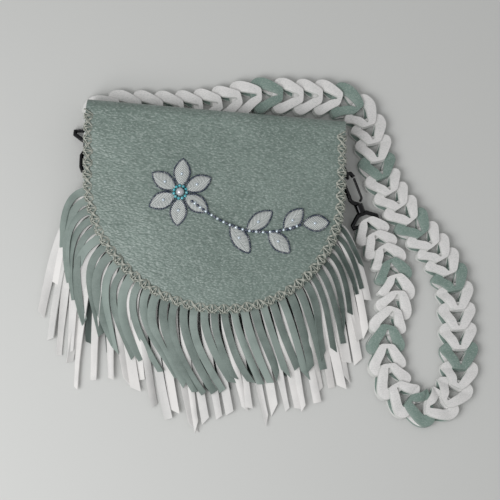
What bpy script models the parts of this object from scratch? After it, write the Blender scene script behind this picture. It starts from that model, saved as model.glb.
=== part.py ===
# Fringed leather shoulder bag with a chain strap of folded leather links.
# It lies on its back as it would be laid down: +Z is up, +Y points to the
# fold of the flap and +X to the right. Every size is in metres.

import math

import bmesh
import bpy
from mathutils import Vector

# Place of the part's origin: under the middle of the whole object's box
ORIGIN_X = 0.0133
ORIGIN_Y = 0.0023

# Leather and clearances
GAP = 0.0003
PANEL_LEATHER = 0.0020
LINK_LEATHER = 0.0018
FRINGE_LEATHER = 0.0012
LAYER_GAP = 0.0012
SEAM_GAP = 0.0006

# Flap: straight sides above half an ellipse
FLAP_HALF_WIDTH = 0.1285
FLAP_ROUND_DROP = 0.1235
FLAP_STRAIGHT = 0.0765
FOLD_Y = 0.1365
BAG_X = -0.0460
LIE_SKEW = 0.070
FLAP_TOP_Z = 0.0310
FLAP_SAG = 0.0075
SAG_RUN = 0.110
HINGE_LAND = 0.0040

# Pouch under the flap
POUCH_INSET = 0.0110
MOUTH_Y = 0.0950
FLAP_LIFT = 0.0012
BACK_RAISED_FROM_Y = 0.0920
BACK_DOWN_AT_Y = -0.0450
BACK_FLOOR_Z = 0.0013

# Fringe
BAND_WIDTH = 0.0090
STRIP_WIDTH = 0.0086
STRIP_PITCH = 0.0096
STRIP_SHARE = 0.30
TIP_CUT = 0.0015
FRINGE_FALL = 0.070
FALL_ROWS = 4
LYING_END = 0.012
FRINGE_LEFT_SHORT = 0.0119
FRINGE_RIGHT_SHORT = 0.0259
LEFT_BOW = 0.42
RIGHT_BOW = 0.12
BODY_BAND_WIDTH = 0.0060
BODY_FALL = 0.040
BODY_STRIP_PITCH = 0.0150
BODY_LEFT_SHORT = 0.0479
BODY_RIGHT_SHORT = 0.0379
FRINGE_FLOOR_Z = 0.0006

# Lacing along the flap's edge
LACING_PITCH = 0.0091
LACING_REACH = 0.0085
LACING_LIP = 0.0016
LACING_RISE = 0.0024
LACING_WAVE = 0.0009

# One link of the strap, measured back from its folded end
LINK_PITCH = 0.0200
FOLD_HALF = 0.0074
FOLD_ROUND = 0.0012
HOLE_TIP = 0.0046
ARM_MID = 0.0110
ARM_HALF = 0.0125
SLOT_HALF = 0.0032
BUMP_AT = 0.0200
LINK_HALF = 0.0176
BAR_FRONT = 0.0221
BAR_CORNER_HALF = 0.0125
BAR_BACK = 0.0290
HOLE_SIDE = 0.0004
STRAP_LEAN = 0.45
FIRST_LINK = -4
LAST_LINK = 39
LAST_HIDDEN_LINK = 1
SAGE_EVERY = 4
LINK_SQUEEZE = 0.0002

# Hardware
RIGHT_RING_Y = 0.0920
LEFT_RING_Y = 0.0560
RING_WIRE = 0.0016
RING_HALF = 0.0076
RING_REACH = 0.0130
RING_CORNER = 0.0025
EYE_WIRE = 0.0016
EYE_HALF = 0.0130
EYE_LENGTH = 0.0105
POST_RADIUS = 0.0014
POST_LENGTH = 0.0085
BARREL_RADIUS = 0.0042
BARREL_LENGTH = 0.0085
BORE_CLEARANCE = 0.0003
HOOK_WIRE = 0.0018
JAW_HALF = 0.0056
JAW_SHOULDER = 0.0014
GATE_SIDE = 0.0058
GATE_MID_SIDE = 0.0056
GATE_PIVOT_SIDE = 0.0028
GATE_WIRE = 0.0013
TAB_LENGTH = 0.0150
TAB_WIDTH = 0.0088
TAB_LEATHER = 0.0018
TAB_Z = 0.0152
TAB_OUT = 0.0060
KEEPER_LEATHER = 0.0015
KEEPER_HALF = 0.0042
KEEPER_LENGTH = 0.0245
KEEPER_AHEAD = 0.0080
FOLD_SEAT = 0.0012
BOW_PLAY = 0.0012
GATE_PLAY = 0.0002
TIP_SLANT = 0.0012
HINGE_CLEAR = 0.0030

# Beadwork sprig on the flap
SPRIG_X = -0.0730
SPRIG_Y = 0.0500
PETALS = 6
PETAL_LENGTH = 0.0330
PETAL_HALF = 0.0082
HUB_RADIUS = 0.0100
SPRIG_THICKNESS = 0.0014
STEM_HALF = 0.0016
STEM_END_CLEAR = 0.0028
STEM_BOW = 0.0300
STEM_END_DROP = 0.0040
LEAF_LENGTH = 0.0330
LEAF_HALF = 0.0080
# Where each leaf leaves the stem, as a share of its length, and which way it turns
LEAF_PLACES = ((0.42, -0.9), (0.55, 0.75), (0.72, -0.7), (0.84, 0.95), (0.985, 0.15))

LAYER_STEP = FRINGE_LEATHER + LAYER_GAP
RIM_UNDERSIDE_Z = FLAP_TOP_Z - FLAP_SAG - PANEL_LEATHER / 2
FRINGE_ROOT_Z = RIM_UNDERSIDE_Z - SEAM_GAP - FRINGE_LEATHER / 2
TOP_LAYER = 2
FOLD_RISE = LINK_LEATHER + 1.5 * GAP
STRAP_MID_Z = FOLD_RISE + LINK_LEATHER
BACK_TOP_Z = 2 * STRAP_MID_Z + GAP + PANEL_LEATHER / 2
TURN_RADIUS = (FLAP_TOP_Z - BACK_TOP_Z) / 2
TURN_Y = FOLD_Y - TURN_RADIUS - PANEL_LEATHER / 2
HINGE_Y = TURN_Y - HINGE_LAND
ROUND_Y = FOLD_Y - FLAP_STRAIGHT
ROUND_MEAN = (FLAP_HALF_WIDTH + FLAP_ROUND_DROP) / 2
QUARTER = ROUND_MEAN * math.pi / 2

# The strap's centre line: link number, place beside the bag's middle as a share of the
# flap's half width, and y
ROUTE = [
    (-7.0, -1.0195, 0.0855),
    (-6.0, -1.0054, 0.1055),
    (-5.0, -0.9416, 0.1232),
    (-4.0, -0.8016, 0.1320),
    (-3.0, -0.6342, 0.1340),
    (-1.0, -0.3035, 0.1375),
    (1.0, -0.0078, 0.1450),
    (3.0, 0.2934, 0.1572),
    (5.0, 0.6210, 0.1600),
    (7.0, 0.9206, 0.1607),
    (8.0, 1.0739, 0.1535),
    (9.0, 1.1712, 0.1390),
    (10.0, 1.2257, 0.1218),
    (12.0, 1.3198, 0.0875),
    (14.0, 1.4669, 0.0592),
    (16.0, 1.6529, 0.0338),
    (18.0, 1.8195, 0.0105),
    (20.0, 1.9440, -0.0182),
    (22.0, 1.9938, -0.0565),
    (24.0, 2.0296, -0.0945),
    (25.0, 2.0156, -0.1130),
    (26.0, 1.9455, -0.1300),
    (27.0, 1.8171, -0.1385),
    (28.0, 1.6770, -0.1350),
    (29.0, 1.5603, -0.1225),
    (30.0, 1.4848, -0.1040),
    (32.0, 1.4553, -0.0660),
    (34.0, 1.5058, -0.0310),
    (36.0, 1.4358, 0.0000),
    (38.0, 1.2981, 0.0255),
    (40.0, 1.1689, 0.0518),
]

# Ends of the fringe strips, from left to right: share of the flap's half width, and y
SAGE_HEM = [
    (-1.0973, -0.0080),
    (-1.0428, -0.0600),
    (-0.7541, -0.1021),
    (-0.4132, -0.1131),
    (0.0039, -0.1455),
    (0.3735, -0.1370),
    (0.7728, -0.1240),
    (1.0661, -0.1010),
    (1.2023, -0.0740),
]
WHITE_HEM = [
    (-1.2521, -0.0400),
    (-1.1595, -0.1000),
    (-0.9183, -0.1450),
    (-0.5572, -0.1410),
    (-0.2490, -0.1580),
    (-0.0350, -0.1760),
    (0.3580, -0.1690),
    (0.8101, -0.1555),
    (1.0521, -0.1370),
    (1.2218, -0.1200),
    (1.2879, -0.0960),
]
BODY_HEM = [
    (-1.1206, -0.0500),
    (-0.8093, -0.1050),
    (-0.2646, -0.1310),
    (0.2023, -0.1400),
    (0.7471, -0.1200),
    (1.1206, -0.0850),
    (1.2374, -0.0480),
    (1.2218, -0.0250),
    (1.1284, -0.0020),
]


def clear_scene():
    for item in list(bpy.data.objects):
        bpy.data.objects.remove(item, do_unlink=True)


def new_collection(name):
    collection = bpy.data.collections.new(name)
    bpy.context.scene.collection.children.link(collection)
    return collection


def surface(name, colour, roughness, metallic=0.0):
    material = bpy.data.materials.new(name)
    material.use_nodes = True
    shader = material.node_tree.nodes["Principled BSDF"]
    shader.inputs["Base Color"].default_value = (*colour, 1.0)
    shader.inputs["Roughness"].default_value = roughness
    shader.inputs["Metallic"].default_value = metallic
    return material


def add_part(name, mesh, material, collection):
    part = bpy.data.objects.new(name, mesh)
    part.data.materials.clear()
    part.data.materials.append(material)
    part.location = (-ORIGIN_X, -ORIGIN_Y, 0.0)
    collection.objects.link(part)
    return part


def smooth_step(value):
    value = min(max(value, 0.0), 1.0)
    return value * value * (3.0 - 2.0 * value)


def spline_point(knots, value):
    """Point on a smooth curve through knots of (value, share of the flap's half width, y)."""
    last = len(knots) - 2
    index = 0
    while index < last and value > knots[index + 1][0]:
        index += 1
    start, end = knots[index], knots[index + 1]
    before = knots[max(index - 1, 0)]
    after = knots[min(index + 2, last + 1)]
    span = end[0] - start[0]
    share = (value - start[0]) / span
    result = []
    for axis in (1, 2):
        slope_start = (end[axis] - before[axis]) / (end[0] - before[0]) * span
        slope_end = (after[axis] - start[axis]) / (after[0] - start[0]) * span
        a = 2 * share**3 - 3 * share**2 + 1
        b = share**3 - 2 * share**2 + share
        c = -2 * share**3 + 3 * share**2
        d = share**3 - share**2
        result.append(a * start[axis] + b * slope_start + c * end[axis] + d * slope_end)
    return Vector((BAG_X + result[0] * FLAP_HALF_WIDTH, result[1]))


# The bag's outline and the heights of its layers


def centre_x(y):
    return BAG_X + LIE_SKEW * (FOLD_Y - y)


def rim(distance, inset=0.0):
    """Point on the flap's edge, measured from the bottom of its curve, and the way out of it."""
    half = FLAP_HALF_WIDTH - inset
    drop = FLAP_ROUND_DROP - inset
    side = 1.0 if distance > 0 else -1.0
    if abs(distance) <= QUARTER:
        angle = distance / ROUND_MEAN
        y = ROUND_Y - drop * math.cos(angle)
        x = half * math.sin(angle)
        outward = Vector((math.sin(angle) / half, -math.cos(angle) / drop)).normalized()
    else:
        y = ROUND_Y + abs(distance) - QUARTER
        x = side * half
        outward = Vector((side, 0.0))
    return Vector((x + centre_x(y), y)), outward


def flap_height(x, y):
    across = abs(x - centre_x(y)) / FLAP_HALF_WIDTH
    along = max(0.0, (ROUND_Y - y) / FLAP_ROUND_DROP)
    reach = min(math.hypot(across, along), 1.0)
    return FLAP_TOP_Z - FLAP_SAG * reach**4 * smooth_step((HINGE_Y - y) / SAG_RUN)


def front_height(x, y):
    return flap_height(x, y) - PANEL_LEATHER - FLAP_LIFT


def back_height(x, y):
    rise = smooth_step((y - BACK_DOWN_AT_Y) / (BACK_RAISED_FROM_Y - BACK_DOWN_AT_Y))
    return BACK_FLOOR_Z + (BACK_TOP_Z - BACK_FLOOR_Z) * rise


def beyond_rim(x, y):
    """How far a point lies outside the flap's edge."""
    across = (x - centre_x(y)) / FLAP_HALF_WIDTH
    along = min(0.0, (y - ROUND_Y) / FLAP_ROUND_DROP)
    return (math.hypot(across, along) - 1.0) * ROUND_MEAN


def fringe_height(x, y, layer):
    """Middle of a fringe layer: 0 lies on the floor, 1 and 2 fall to it from the flap."""
    lying = FRINGE_FLOOR_Z + LAYER_STEP * layer
    out = beyond_rim(x, y)
    if layer == 0:
        near_bag = 1.0 - min(max(out / BODY_FALL, 0.0), 1.0)
        return lying + (back_height(x, y) - BACK_FLOOR_Z) * near_bag
    below = LAYER_STEP * (TOP_LAYER - layer)
    seam = FRINGE_ROOT_Z - below + flap_height(x, y) - FLAP_TOP_Z + FLAP_SAG
    return seam + (lying - seam) * min(max(out, 0.0) / FRINGE_FALL, 1.0)


def panel_grid(inset, top_y, columns, rows):
    """Even grid of points inside the bag's outline, finer near its edge."""
    straight = top_y - ROUND_Y
    side_run = straight + QUARTER / 2
    top_left = rim(-(QUARTER + straight), inset)[0]
    top_right = rim(QUARTER + straight, inset)[0]
    low_left = rim(-QUARTER / 2, inset)[0]
    low_right = rim(QUARTER / 2, inset)[0]
    grid = []
    for row in range(rows + 1):
        share = row / rows
        v = (share + math.sin(math.pi / 2 * share)) / 2
        left = rim(-(QUARTER + straight) + v * side_run, inset)[0]
        right = rim(QUARTER + straight - v * side_run, inset)[0]
        line = []
        for column in range(columns + 1):
            s = (1 - math.cos(math.pi * column / columns)) / 2
            top = top_left.lerp(top_right, s)
            bottom = rim(-QUARTER / 2 + s * QUARTER, inset)[0]
            corners = top_left.lerp(top_right, s) * (1 - v) + low_left.lerp(low_right, s) * v
            line.append(top * (1 - v) + bottom * v + left.lerp(right, s) - corners)
        grid.append(line)
    return grid


def grid_mesh(name, rows):
    """Open surface through equal rows of points."""
    mesh = bpy.data.meshes.new(name)
    build = bmesh.new()
    lines = [[build.verts.new(point) for point in row] for row in rows]
    for upper, lower in zip(lines, lines[1:]):
        for index in range(len(upper) - 1):
            build.faces.new((upper[index], lower[index], lower[index + 1], upper[index + 1]))
    build.normal_update()
    build.to_mesh(mesh)
    build.free()
    mesh.shade_smooth()
    return mesh


def thicken(part, thickness):
    modifier = part.modifiers.new("leather", "SOLIDIFY")
    modifier.thickness = thickness
    modifier.offset = 0.0
    modifier.use_even_offset = True


# Panels of the bag


def make_flap(collection, leather):
    grid = panel_grid(0.0, HINGE_Y - GAP, 12, 11)
    rows = [[(p.x, p.y, flap_height(p.x, p.y)) for p in line] for line in grid]
    flap = add_part("flap", grid_mesh("flap", rows), leather, collection)
    thicken(flap, PANEL_LEATHER)
    return flap


def make_front_panel(collection, leather):
    grid = panel_grid(POUCH_INSET, MOUTH_Y, 10, 9)
    rows = [[(p.x, p.y, front_height(p.x, p.y)) for p in line] for line in grid]
    panel = add_part("front_panel", grid_mesh("front_panel", rows), leather, collection)
    thicken(panel, PANEL_LEATHER)


def widen(point):
    """The pouch is narrower than the flap; above its mouth the leather widens to the flap."""
    share = smooth_step((point.y - MOUTH_Y) / (TURN_Y - MOUTH_Y))
    middle = centre_x(point.y)
    wider = 1.0 + share * POUCH_INSET / (FLAP_HALF_WIDTH - POUCH_INSET)
    return Vector((middle + (point.x - middle) * wider, point.y))


def make_back_panel(collection, leather):
    """The back runs on round the fold and stops at the flap's hinge line."""
    grid = panel_grid(POUCH_INSET, TURN_Y, 10, 10)
    turn_steps = 6
    turn_z = (FLAP_TOP_Z + BACK_TOP_Z) / 2
    grid = [[widen(p) for p in line] for line in grid]
    rows = [[(p.x, HINGE_Y, FLAP_TOP_Z) for p in grid[0]]]
    for step in range(turn_steps):
        angle = math.pi * (turn_steps - step) / turn_steps - math.pi / 2
        out = TURN_RADIUS * math.cos(angle)
        rise = TURN_RADIUS * math.sin(angle)
        rows.append([(p.x, TURN_Y + out, turn_z + rise) for p in grid[0]])
    rows += [[(p.x, p.y, back_height(p.x, p.y)) for p in line] for line in grid]
    panel = add_part("back_panel", grid_mesh("back_panel", rows), leather, collection)
    thicken(panel, PANEL_LEATHER)


def make_gusset(collection, leather):
    straight = MOUTH_Y - ROUND_Y
    total = QUARTER + straight
    steps = 44
    inset = POUCH_INSET + PANEL_LEATHER / 2 + SEAM_GAP
    lower = []
    upper = []
    for step in range(steps + 1):
        p = rim(-total + 2 * total * step / steps, inset)[0]
        clear = PANEL_LEATHER / 2 + SEAM_GAP
        lower.append((p.x, p.y, back_height(p.x, p.y) + clear))
        upper.append((p.x, p.y, front_height(p.x, p.y) - clear))
    gusset = add_part("gusset", grid_mesh("gusset", [lower, upper]), leather, collection)
    thicken(gusset, PANEL_LEATHER)


def make_lacing(collection, sinew):
    """Corded lacing: a rounded strip on the flap's rim with a lip down its edge."""
    total = QUARTER + HINGE_Y - ROUND_Y - HINGE_CLEAR
    steps = 2 * round(total / LACING_PITCH)
    clear = PANEL_LEATHER / 2 + SEAM_GAP
    rings = []
    for step in range(steps + 1):
        distance = -total + 2 * total * step / steps
        edge, outward = rim(distance)
        wave = LACING_WAVE if step % 2 else 0.0
        section = (
            (-LACING_REACH - wave, clear),
            (-LACING_REACH + 0.002, LACING_RISE + wave),
            (0.0, LACING_RISE + wave),
            (LACING_LIP + wave, clear),
            (LACING_LIP + wave, -PANEL_LEATHER / 2),
            (GAP, -PANEL_LEATHER / 2),
            (GAP, clear),
        )
        ring = []
        for out, up in section:
            p = edge + outward * out
            ring.append((p.x, p.y, flap_height(p.x, p.y) + up))
        rings.append(ring)
    mesh = loft_mesh("lacing", rings)
    return add_part("lacing", mesh, sinew, collection)


def loft_mesh(name, rings):
    """Closed solid through rings of equal length, capped at both ends."""
    mesh = bpy.data.meshes.new(name)
    build = bmesh.new()
    loops = [[build.verts.new(point) for point in ring] for ring in rings]
    count = len(rings[0])
    for near, far in zip(loops, loops[1:]):
        for index in range(count):
            after = (index + 1) % count
            build.faces.new((near[index], near[after], far[after], far[index]))
    build.faces.new(list(reversed(loops[0])))
    build.faces.new(loops[-1])
    bmesh.ops.recalc_face_normals(build, faces=build.faces)
    build.to_mesh(mesh)
    build.free()
    return mesh


# Fringes


def strip_path(root, pull, tip, t):
    """Point and heading at share t of a strip's curve."""
    point = root * (1 - t) ** 2 + pull * (2 * t * (1 - t)) + tip * t**2
    heading = ((pull - root) * (1 - t) + (tip - pull) * t).normalized()
    return point, heading


def share_beyond(root, pull, tip, out):
    """Share of the strip's curve at which it has come this far out of the flap's edge."""
    near, far = 0.0, 1.0
    for _ in range(24):
        middle = (near + far) / 2
        point = strip_path(root, pull, tip, middle)[0]
        if beyond_rim(point.x, point.y) < out:
            near = middle
        else:
            far = middle
    return near


def room_beside(paths, j, point):
    """How far a point of one strip lies from the strips on either side of it."""
    steps = 48
    nearest = STRIP_WIDTH / STRIP_SHARE
    for k in (j - 1, j + 1):
        if 0 <= k < len(paths):
            for step in range(steps + 1):
                other = strip_path(*paths[k], step / steps)[0]
                nearest = min(nearest, (other - point).length)
    return nearest


def make_fringe(name, hem, layer, band, span, pitch, collection, leather):
    """One piece of leather slit into strips that hang from an uncut band along the seam."""
    band_inset, root_inset = band
    left_u, right_u = span
    count = round((right_u - left_u) / pitch)
    knots = [(float(i), x, y) for i, (x, y) in enumerate(hem)]
    mesh = bpy.data.meshes.new(name)
    build = bmesh.new()

    def vertex(p):
        return build.verts.new((p.x, p.y, fringe_height(p.x, p.y, layer)))

    roots = []
    for j in range(count + 1):
        distance = left_u + (right_u - left_u) * j / count
        inner = rim(distance, band_inset)[0]
        root, outward = rim(distance, root_inset)
        roots.append((vertex(inner), vertex(root), root, outward))
    paths = []
    for j in range(count):
        near, far = roots[j], roots[j + 1]
        share = (j + 0.5) / count
        tip = spline_point(knots, share * (len(hem) - 1))
        root = (near[2] + far[2]) / 2
        outward = (near[3] + far[3]).normalized()
        tip = root.lerp(tip, 1.0 - 0.07 * ((j * 7) % 5) / 4)
        bow = LEFT_BOW + (RIGHT_BOW - LEFT_BOW) * share
        pull = root + outward * (tip - root).length * bow
        paths.append((root, pull, tip))
    for j in range(count):
        near, far = roots[j], roots[j + 1]
        build.faces.new((near[0], near[1], far[1], far[0]))
        root, pull, tip = paths[j]
        reach = min(beyond_rim(tip.x, tip.y) - LYING_END, FRINGE_FALL)
        stops = [share_beyond(root, pull, tip, reach * k / FALL_ROWS) for k in range(1, FALL_ROWS + 1)]
        stops.append(1.0)
        left, right = near[1], far[1]
        for t in stops:
            p, heading = strip_path(root, pull, tip, t)
            across = Vector((-heading.y, heading.x))
            half = min(STRIP_WIDTH / 2, STRIP_SHARE * room_beside(paths, j, p))
            slant = heading * (TIP_CUT if t == 1.0 else 0.0)
            next_left = vertex(p - across * half + slant)
            next_right = vertex(p + across * half)
            build.faces.new((left, next_left, next_right, right))
            left, right = next_left, next_right
    build.normal_update()
    build.to_mesh(mesh)
    build.free()
    fringe = add_part(name, mesh, leather, collection)
    thicken(fringe, FRINGE_LEATHER)
    return fringe


# Strap of folded leather links


def on_strap(number, back, across, up):
    """Place a point of a link, measured back from its fold, on the strap's curve."""
    value = number + (HOLE_TIP - back) / LINK_PITCH
    step = 0.05
    point = spline_point(ROUTE, value)
    ahead = spline_point(ROUTE, value + step) - spline_point(ROUTE, value - step)
    ahead.normalize()
    side = Vector((-ahead.y, ahead.x))
    place = point + side * across
    lean = STRAP_LEAN * up
    return Vector((place.x + lean, place.y + lean, STRAP_MID_Z + up))


def link_mesh(number, high=FOLD_RISE):
    """A ring of leather folded in half; its fold wraps the next link's bar."""
    low = GAP / 2
    side = [
        ((FOLD_ROUND, FOLD_HALF), (HOLE_TIP, 0.0), high),
        ((ARM_MID, ARM_HALF), (ARM_MID, SLOT_HALF), high),
        ((BUMP_AT, LINK_HALF), (BUMP_AT, FOLD_HALF + HOLE_SIDE), low),
        ((BAR_BACK, BAR_CORNER_HALF), (BAR_FRONT, FOLD_HALF + HOLE_SIDE), low),
    ]
    mirrored = [((o[0], -o[1]), (i[0], -i[1]), z) for o, i, z in reversed(side)]
    stations = side + mirrored
    last = len(stations) - 1
    build = bmesh.new()

    def put(point, up):
        return build.verts.new(on_strap(number, point[0], point[1], up))

    halves = []
    for sign in (1, -1):
        outer_far = []
        outer_near = []
        inner_far = []
        inner_near = []
        for index, (outer, inner, z) in enumerate(stations):
            at_fold = index in (0, last)
            outer_far.append(put(outer, sign * (z + LINK_LEATHER)))
            outer_near.append(put((LINK_LEATHER, outer[1]) if at_fold else outer, sign * z))
            if index < last:
                inner_far.append(put(inner, sign * (z + LINK_LEATHER)))
                inner_near.append(put(inner, sign * z))
        inner_far.append(inner_far[0])
        inner_near.append(inner_near[0])
        for index in range(last):
            after = index + 1
            build.faces.new((outer_far[index], outer_far[after], inner_far[after], inner_far[index]))
            build.faces.new((outer_near[index], inner_near[index], inner_near[after], outer_near[after]))
            build.faces.new((outer_far[index], outer_near[index], outer_near[after], outer_far[after]))
            build.faces.new((inner_far[index], inner_far[after], inner_near[after], inner_near[index]))
        build.faces.new((outer_far[last], outer_far[0], inner_far[0]))
        build.faces.new((outer_near[0], outer_near[last], inner_near[0]))
        halves.append((outer_far, outer_near))
    (top_far, top_near), (low_far, low_near) = halves
    edge_z = high + LINK_LEATHER - FOLD_ROUND
    rims = []
    for index, across in ((0, FOLD_HALF), (last, -FOLD_HALF)):
        upper = put((0.0, across), edge_z)
        lower = put((0.0, across), -edge_z)
        chain = [top_far[index], upper, lower, low_far[index], low_near[index], top_near[index]]
        build.faces.new(chain)
        rims.append(chain)
    near, far = rims
    for index in range(3):
        build.faces.new((near[index], near[index + 1], far[index + 1], far[index]))
    build.faces.new((near[4], near[5], far[5], far[4]))
    bmesh.ops.triangulate(build, faces=build.faces, quad_method="SHORT_EDGE")
    bmesh.ops.recalc_face_normals(build, faces=build.faces)
    mesh = bpy.data.meshes.new(f"link_{number:02d}")
    build.to_mesh(mesh)
    build.free()
    return mesh


def make_strap(collection, cutters, white, sage):
    for number in range(LAST_HIDDEN_LINK + 1, LAST_LINK + 1):
        leather = sage if number % SAGE_EVERY == 0 else white
        name = f"strap_link_{number - LAST_HIDDEN_LINK:02d}"
        add_part(name, link_mesh(number), leather, collection)
    make_hidden_links(collection, cutters, white)


def make_hidden_links(collection, cutters, white):
    """The links that lie under the bag, pressed together into one solid."""
    pressed = GAP / 2 + LINK_LEATHER - LINK_SQUEEZE
    first = add_part("strap_links_under_bag", link_mesh(FIRST_LINK, pressed), white, collection)
    for number in range(FIRST_LINK + 1, LAST_HIDDEN_LINK + 1):
        high = pressed if number < LAST_HIDDEN_LINK else FOLD_RISE
        tool = add_part(f"under_bag_{number}", link_mesh(number, high), white, cutters)
        tool.hide_render = True
        tool.display_type = "WIRE"
        join = first.modifiers.new("link", "BOOLEAN")
        join.operation = "UNION"
        join.object = tool


# Hardware


def to_mesh_part(curve_object, name, material, collection):
    """Turn a curve into a welded mesh part at the same place."""
    bpy.context.view_layer.update()
    evaluated = curve_object.evaluated_get(bpy.context.evaluated_depsgraph_get())
    mesh = bpy.data.meshes.new_from_object(evaluated)
    build = bmesh.new()
    build.from_mesh(mesh)
    bmesh.ops.remove_doubles(build, verts=build.verts, dist=0.00001)
    build.to_mesh(mesh)
    build.free()
    place = curve_object.matrix_world.copy()
    bpy.data.objects.remove(curve_object, do_unlink=True)
    part = add_part(name, mesh, material, collection)
    part.matrix_world = place
    return part


def wire(name, points, radius, material, collection, closed=False):
    """Round wire bent through the points."""
    curve = bpy.data.curves.new(name, "CURVE")
    curve.dimensions = "3D"
    curve.bevel_depth = radius
    curve.bevel_resolution = 2
    curve.use_fill_caps = True
    spline = curve.splines.new("POLY")
    spline.points.add(len(points) - 1)
    for item, point in zip(spline.points, points):
        item.co = (*point, 1.0)
    spline.use_cyclic_u = closed
    holder = bpy.data.objects.new(name, curve)
    holder.location = (-ORIGIN_X, -ORIGIN_Y, 0.0)
    collection.objects.link(holder)
    return to_mesh_part(holder, name, material, collection)


def turned(name, profile, start, direction, material, collection, steps=12):
    """Solid turned about a line from start along direction; profile is (radius, along)."""
    mesh = bpy.data.meshes.new(name)
    build = bmesh.new()
    verts = [build.verts.new((radius, 0.0, along)) for radius, along in profile]
    for near, far in zip(verts, verts[1:]):
        build.edges.new((near, far))
    build.to_mesh(mesh)
    build.free()
    part = add_part(name, mesh, material, collection)
    screw = part.modifiers.new("turn", "SCREW")
    screw.steps = steps
    screw.render_steps = steps
    screw.use_merge_vertices = True
    screw.merge_threshold = 0.00001
    part.rotation_euler = direction.to_track_quat("Z", "Y").to_euler()
    part.location = start + Vector((-ORIGIN_X, -ORIGIN_Y, 0.0))
    return part


def unite(part, tool):
    tool.hide_render = True
    tool.display_type = "WIRE"
    join = part.modifiers.new("join", "BOOLEAN")
    join.operation = "UNION"
    join.object = tool


def hang(name, place, parts, collection):
    """Empty on a joint's axis, carrying the parts that move about it."""
    joint = bpy.data.objects.new(name, None)
    joint.empty_display_size = 0.01
    joint.location = place + Vector((-ORIGIN_X, -ORIGIN_Y, 0.0))
    collection.objects.link(joint)
    for part in parts:
        part.parent = joint
        part.location = part.location - joint.location
    return joint


def level_heading(start, end):
    """Level direction from one point to another."""
    return Vector((end.x - start.x, end.y - start.y, 0.0)).normalized()


def place_in(start, ahead, side, points):
    return [start + ahead * along + side * across for along, across in points]


def make_tab(name, ring_y, turn, outward, leather, collection):
    """Leather tab sewn to the gusset, folded round the straight bar of the ring."""
    eye = RING_WIRE + GAP + TAB_LEATHER
    seat = outward * (FLAP_HALF_WIDTH - POUCH_INSET - SEAM_GAP + GAP)
    bar_x = centre_x(ring_y + turn * eye) + seat + outward * (eye + TAB_OUT)
    curve = bpy.data.curves.new(name, "CURVE")
    curve.dimensions = "2D"
    curve.fill_mode = "BOTH"
    curve.extrude = TAB_WIDTH / 2
    outline = curve.splines.new("POLY")
    back_y = ring_y - turn * TAB_LENGTH
    wall_side = centre_x(back_y) + seat
    points = [(wall_side, back_y), (wall_side + outward * 2 * TAB_LEATHER, back_y)]
    for step in range(9):
        angle = math.pi * step / 8
        points.append((bar_x + outward * eye * math.cos(angle), ring_y + turn * eye * math.sin(angle)))
    outline.points.add(len(points) - 1)
    for item, (x, y) in zip(outline.points, points):
        item.co = (x, y, 0.0, 1.0)
    outline.use_cyclic_u = True
    hole = curve.splines.new("POLY")
    hole_steps = 12
    hole.points.add(hole_steps - 1)
    for step, item in enumerate(hole.points):
        angle = 2 * math.pi * step / hole_steps
        reach = RING_WIRE + GAP
        item.co = (bar_x + reach * math.cos(angle), ring_y + reach * math.sin(angle), 0.0, 1.0)
    hole.use_cyclic_u = True
    holder = bpy.data.objects.new(name, curve)
    holder.location = (-ORIGIN_X, -ORIGIN_Y, TAB_Z)
    collection.objects.link(holder)
    to_mesh_part(holder, name, leather, collection)
    return Vector((bar_x, ring_y, TAB_Z))


def make_ring(name, bar, direction, metal, collection):
    """D-shaped ring: its straight bar stands in the tab, its bow reaches to the hook."""
    up = Vector((0.0, 0.0, 1.0))
    points = [bar - up * RING_HALF, bar + up * RING_HALF]
    bow_steps = 10
    for step in range(bow_steps + 1):
        angle = math.pi / 2 - math.pi * step / bow_steps
        out = RING_CORNER + (RING_REACH - RING_CORNER) * math.cos(angle)
        points.append(bar + direction * out + up * RING_HALF * 1.02 * math.sin(angle))
    return wire(name, points, RING_WIRE, metal, collection, closed=True)


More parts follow.
